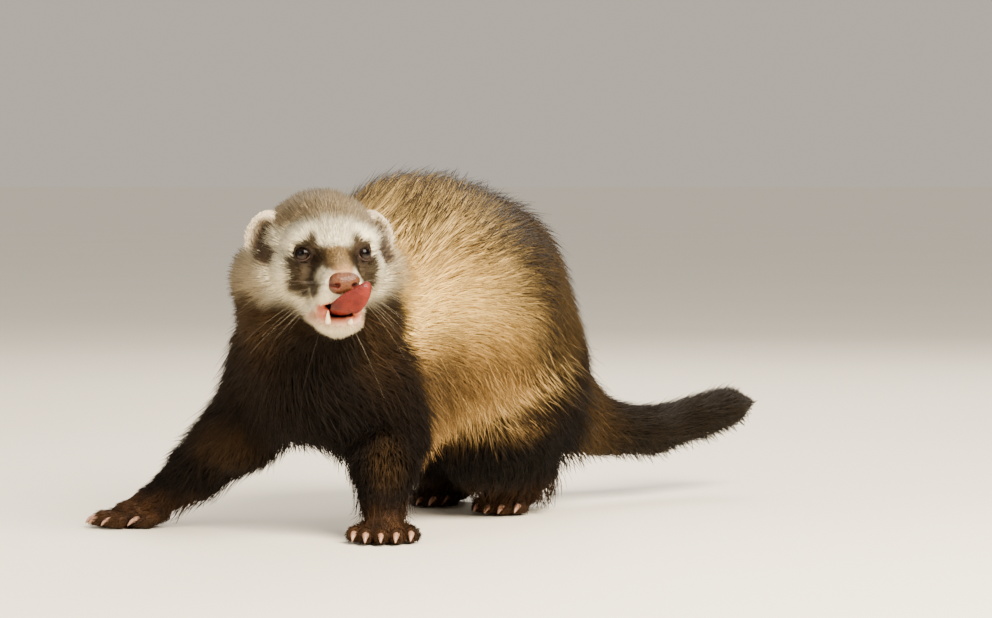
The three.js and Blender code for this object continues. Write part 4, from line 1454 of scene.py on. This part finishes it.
NOSE = material("nose", nose_paint, Specular_IOR_Level=0.25, Coat_Weight=0.08, Coat_Roughness=0.2)
points, squares = net_of(HEAD.field(nose_shape), NOSE_MARKS, HEAD)
q = HEAD.local(points)
rim = np.hypot(q[:, 0] / 6.3, (q[:, 2] - NOSE_AT[2]) / 5)
colour = layered(
    NOSE_BROWN,
    (NOSE_PINK, fall(q[:, 2], -11.5, -7)),
    (NOSE_EDGE, 0.75 * ramp(rim, 0.72, 0.98)),
    (NOSE_EDGE, 0.6 * fall(groove(q), 0, 0.5)),
    (NOSTRIL, fall(nostrils(q), 0.1, 0.7)),
)
nose = mesh_piece("nose_leather", points, squares, NOSE, {"Coat": colour})
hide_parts("nose")

# %% Tongue
# Each row is a place, from the root to the tip, with half the width there and its lean from level.
TONGUE = [
    (0, -22, -20.4, 3.2, 0),
    (0, -30, -20.6, 4.0, 0),
    (-0.4, -38, -20.2, 4.4, 4),
    (-0.6, -43.5, -19.2, 4.8, 10),
    (-0.2, -47, -17.9, 5.3, 19),
    (2.7, -49.6, -15.9, 5.1, 33),
    (5.6, -51, -13, 4.0, 44),
    (7.6, -51.4, -10.2, 2.8, 48),
    (8.9, -50.9, -8, 1.2, 48),
]
TONGUE_THICKNESS = 1.45
TONGUE_SIDES = 24
TONGUE_PINK = linear(0x6a1a0d)
TONGUE_RED = linear(0x3e0904)


def tongue_paint(wire):
    cloud = noise(wire, 190.0, detail=3.0)
    return {
        "Base Color": (cloud.ramp(0.38, 0.62) * 0.7).mix(marking(wire), TONGUE_RED),
        "Roughness": 0.36 + 0.2 * cloud,
        "Normal": bump(1.0 - pebbles(wire, 1900.0), Distance=0.0003, Strength=0.8),
    }


TONGUE_FLESH = material("tongue", tongue_paint, Specular_IOR_Level=0.15, Coat_Weight=0.12,
                        Coat_Roughness=0.15)
rows = smooth_stations(TONGUE, 6)
end = np.linspace(0, 1, len(rows))
thick = TONGUE_THICKNESS * np.minimum(1, (1.03 - end) * 6) ** 0.5
lean = np.radians(rows[:, 4])
across = np.stack([np.cos(lean), 0 * lean, -np.sin(lean)], axis=1)
points, faces = tube(rows[:, :3], rows[:, 3], thick, across, TONGUE_SIDES)
turn = 2 * math.pi * np.arange(TONGUE_SIDES) / TONGUE_SIDES
turn = np.append(np.tile(turn, len(rows)), (0, 0))
# Painted shade: the tongue is darkened towards the deeper red along its upper edge.
shaded_edge = ramp(-np.cos(turn), -0.1, 0.7)
colour = layered(TONGUE_PINK, (TONGUE_RED, shaded_edge * 0.6))
tongue = mesh_piece("tongue_skin", HEAD.stance(points), faces, TONGUE_FLESH, {"Coat": colour})
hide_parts("tongue")

# %% Teeth
# The two lower canines, each by how far it stands to the left and how high its tip reaches.
CANINES = [(-5.7, -19.4), (3.4, -23)]
TOOTH_RADIUS = 1.1
IVORY = (linear(0xd9bf8c), linear(0xeedcb4))


def tooth(x, top):
    t = np.linspace(0, 1, 9)
    root, tip, bow = (x, -40.2, -24.6), (x * 1.05, -41.4, top), (x * 0.12, -1.4, 0)
    path = np.outer(1 - t, root) + np.outer(t, tip) + np.outer(t * (1 - t), bow)
    girth = TOOTH_RADIUS * (1 - t**1.6) + 0.12
    return tube(path, girth, girth, (1, 0, 0), 12)


def tooth_paint(wire):
    cloud = noise(wire, 500.0)
    return {"Base Color": cloud.mix(*IVORY), "Roughness": 0.2 + 0.15 * cloud}


ENAMEL = material("enamel", tooth_paint, Coat_Weight=0.4)
points, faces = joined([tooth(x, top) for x, top in CANINES])
mesh_piece("teeth", HEAD.stance(points), faces, ENAMEL)

# %% [markdown]
# ## Claws and whiskers
#
# Both grow from points by Geometry Nodes. The points carry each one's way, length and heading, and the
# result is kept as a plain mesh.

# %% Growing from points
def node_group(name, numbers):
    """A geometry tree with named number inputs, and wires to its geometry and its numbers."""
    tree = bpy.data.node_groups.new(name, "GeometryNodeTree")
    tree.interface.new_socket("Geometry", in_out="INPUT", socket_type="NodeSocketGeometry")
    for key in numbers:
        tree.interface.new_socket(key, in_out="INPUT", socket_type="NodeSocketFloat")
    tree.interface.new_socket("Surface", in_out="INPUT", socket_type="NodeSocketMaterial")
    tree.interface.new_socket("Geometry", in_out="OUTPUT", socket_type="NodeSocketGeometry")
    start = tree.nodes.new("NodeGroupInput")
    return tree, {key: Wire(tree, start.outputs[key]) for key in ["Geometry", *numbers, "Surface"]}


def finish_group(tree, geometry, surface):
    whole = geometry.node("GeometryNodeRealizeInstances", {"Geometry": geometry})
    dressed = whole.node("GeometryNodeSetMaterial", {"Geometry": whole, "Material": surface})
    end = tree.nodes.new("NodeGroupOutput")
    plug(tree, dressed, end.inputs[0])


def carried(wire, name, data_type="FLOAT"):
    """What each point carries under a name."""
    return wire.node("GeometryNodeInputNamedAttribute", {"Name": name}, data_type=data_type)


def planted(points, shape, turn, size):
    """A copy of the shape on each point, turned and scaled."""
    inputs = {"Points": points, "Instance": shape, "Rotation": turn, "Scale": size}
    return points.node("GeometryNodeInstanceOnPoints", inputs)


def thinning_tube(curve, radius, sharpness, sides):
    """A tube round each curve that thins towards its end."""
    factor = curve.node("GeometryNodeSplineParameter")
    thin = (1.0 - factor) ** sharpness * radius
    ring = curve.node("GeometryNodeCurvePrimitiveCircle", {"Resolution": sides, "Radius": 1.0})
    return curve.node("GeometryNodeCurveToMesh",
                      {"Curve": curve, "Profile Curve": ring, "Scale": thin, "Fill Caps": True})


def grown(name, tree, roots, attributes, numbers, surface):
    """Runs a tree on loose points and keeps what grows as a plain mesh."""
    mesh = bpy.data.meshes.new(name)
    mesh.from_pydata(world(roots).tolist(), [], [])
    for key, values in attributes.items():
        values = np.asarray(values, np.float32)
        kind, field = ("FLOAT", "value") if values.ndim == 1 else ("FLOAT_VECTOR", "vector")
        mesh.attributes.new(key, kind, "POINT").data.foreach_set(field, values.ravel())
    seedbed = bpy.data.objects.new(name + "_roots", mesh)
    bpy.context.scene.collection.objects.link(seedbed)
    modifier = seedbed.modifiers.new("grow", "NODES")
    modifier.node_group = tree
    settings = {**numbers, "Surface": surface}
    for item in tree.interface.items_tree:
        if item.in_out == "INPUT" and item.name in settings:
            modifier[item.identifier] = settings[item.name]
    depsgraph = bpy.context.evaluated_depsgraph_get()
    result = bpy.data.meshes.new_from_object(seedbed.evaluated_get(depsgraph))
    bpy.data.objects.remove(seedbed)
    on_frame(name, result)


# %% Claws
HORN_COLOURS = (linear(0x704b35), linear(0xae846b))


def claw_tree():
    tree, wires = node_group("claws", ["Length", "Radius"])
    points, length = wires["Geometry"], wires["Length"]
    arch = length.node("ShaderNodeCombineXYZ", {"X": length * 0.6, "Z": length * 0.22})
    end = length.node("ShaderNodeCombineXYZ", {"X": length, "Z": length * -0.36})
    curve = length.node("GeometryNodeCurveQuadraticBezier",
                        {"Resolution": 9, "Start": (0, 0, 0), "Middle": arch, "End": end})
    claw = thinning_tube(curve, wires["Radius"], 0.75, 10)
    turn = points.node("ShaderNodeCombineXYZ", {"Z": carried(points, "heading")})
    heading = turn.node("FunctionNodeEulerToRotation", {"Euler": turn})
    placed = planted(points, claw, heading, carried(points, "size"))
    smooth = placed.node("GeometryNodeSetShadeSmooth", {"Geometry": placed})
    finish_group(tree, smooth, wires["Surface"])
    return tree


def claw_paint(wire):
    streaks = noise(wire, 700.0, detail=3.0)
    return {"Base Color": streaks.mix(*HORN_COLOURS), "Roughness": 0.25 + 0.2 * streaks}


HORN = material("horn", claw_paint, Coat_Weight=0.3)
roots, headings, sizes = [], [], []
for name, paw in PAWS.items():
    for forward, outward in paw["toes"]:
        start = (forward + TOE_RADIUS - CLAW_LENGTH / 2, outward * paw["side"], 3.8)
        roots.append(SOLES[name].stance(start))
        headings.append(math.radians(paw["heading"]) + random.normal(0, 0.05))
        sizes.append(random.uniform(0.92, 1.05))
grown("claws", claw_tree(), np.array(roots), {"heading": headings, "size": sizes},
      {"Length": CLAW_LENGTH * MM, "Radius": CLAW_RADIUS * MM}, HORN)

# %% Whiskers
WHISKER_RADIUS = 0.037
WHISKER_DROOP = 0.28
WHISKER_COLOURS = (linear(0x3d2e1f), linear(0x988a6e))


def whisker_tree():
    tree, wires = node_group("whiskers", ["Droop", "Radius"])
    points = wires["Geometry"]
    line = points.node("GeometryNodeCurvePrimitiveLine", {"Start": (0, 0, 0), "End": (0, 0, 1)})
    fine = line.node("GeometryNodeResampleCurve", {"Curve": line, "Count": 14})
    reach = carried(points, "reach")
    aim = points.node("FunctionNodeAlignRotationToVector",
                      {"Vector": carried(points, "way", "FLOAT_VECTOR")}, axis="Z")
    placed = planted(points, fine, aim, reach)
    curves = placed.node("GeometryNodeRealizeInstances", {"Geometry": placed})
    factor = curves.node("GeometryNodeSplineParameter")
    sag = factor * factor * reach * wires["Droop"]
    hang = sag.node("ShaderNodeCombineXYZ", {"Z": sag * -1.0})
    bent = curves.node("GeometryNodeSetPosition", {"Geometry": curves, "Offset": hang})
    finish_group(tree, thinning_tube(bent, wires["Radius"], 0.6, 5), wires["Surface"])
    return tree


def whisker_paint(wire):
    return {"Base Color": noise(wire, 60.0).ramp(0.4, 0.6).mix(*WHISKER_COLOURS)}


WHISKER = material("whisker", whisker_paint, Roughness=0.35)
roots, ways, reaches = [], [], []


def whisker(side, at, way, reach):
    spread = random.normal(0, 0.07, 3)
    roots.append(settle(outline, HEAD.stance(mirrored(side, at))[None], 4)[0])
    ways.append(unit(np.array(mirrored(side, way)) + spread) @ HEAD.axes.T)
    reaches.append(reach * random.uniform(0.85, 1.15) * MM)


for side in SIDES.values():
    for row in range(4):
        for column in range(4):
            at = (9 + 0.6 * row, -41 + 3.4 * column, -9 - 2.3 * row)
            way = (0.9, -0.25 + 0.28 * column, 0.12 - 0.24 * row)
            whisker(side, at, way, 15 + 7 * column)
    for at, way, reach in [
        ((11, -23, 10), (0.5, -0.4, 0.8), 16),
        ((9, -25, 10), (0.3, -0.5, 0.85), 13),
        ((22, -14, -9), (0.9, 0.1, -0.35), 22),
        ((7, -30, -28), (0.35, -0.2, -0.9), 24),
    ]:
        whisker(side, at, way, reach)
grown("whiskers", whisker_tree(), np.array(roots), {"way": np.array(ways), "reach": reaches},
      {"Droop": WHISKER_DROOP, "Radius": WHISKER_RADIUS * MM}, WHISKER)

# %% [markdown]
# ## Studio
#
# Soft light from a large lamp before the animal, a weaker one on the other side and one behind, under a
# pale sky and on a plain pale floor. Sizes here are in metres.

# %% Lights
AIM = Vector((-0.02, 0.0, 0.08))
LIGHTS = [
    ("key", (0.6, -0.85, 0.95), (0.85, 0.85), 100, (1, 0.93, 0.8)),
    ("fill", (-1.0, -0.9, 0.5), (1.0, 0.8), 13, (1, 0.95, 0.86)),
    ("rim", (0.3, 1.0, 0.9), (0.8, 0.5), 16, (1, 0.94, 0.86)),
]
for name, at, size, power, colour in LIGHTS:
    data = bpy.data.lights.new(name, "AREA")
    data.shape = "RECTANGLE"
    data.size, data.size_y = size
    data.energy = power
    data.color = colour
    lamp = bpy.data.objects.new(name, data)
    lamp.location = at
    lamp.rotation_euler = (AIM - Vector(at)).to_track_quat("-Z", "Y").to_euler()
    bpy.context.scene.collection.objects.link(lamp)
print("lights:", [name for name, *_ in LIGHTS])

# %% Sky
SKY_COLOURS = (linear(0xe4daca), linear(0xffffff))
SKY_STRENGTH = 0.76

studio = bpy.data.worlds.new("studio")
studio.use_nodes = True
sky = Wire(studio.node_tree, None)
direction = sky.node("ShaderNodeTexCoord")
height = sky.node("ShaderNodeSeparateXYZ", {"Vector": direction}, output=2)
background = studio.node_tree.nodes["Background"]
plug(studio.node_tree, height.ramp(0.05, 0.8).mix(*SKY_COLOURS), background.inputs["Color"])
background.inputs["Strength"].default_value = SKY_STRENGTH
bpy.context.scene.world = studio
print("sky:", studio.name)

# %% Floor
FLOOR_RADIUS = 60
FLOOR_COLOURS = (linear(0xe0d3bd), linear(0xe8dcc8))


def floor_paint(wire):
    cloud = noise(wire, 3.0)
    return {"Base Color": cloud.mix(*FLOOR_COLOURS), "Roughness": 0.55 + 0.1 * cloud}


bpy.ops.mesh.primitive_circle_add(vertices=96, radius=FLOOR_RADIUS, fill_type="NGON", location=(0, 0, 0))
floor = bpy.context.object
floor.name = "floor"
floor.data.materials.append(material("floor", floor_paint))
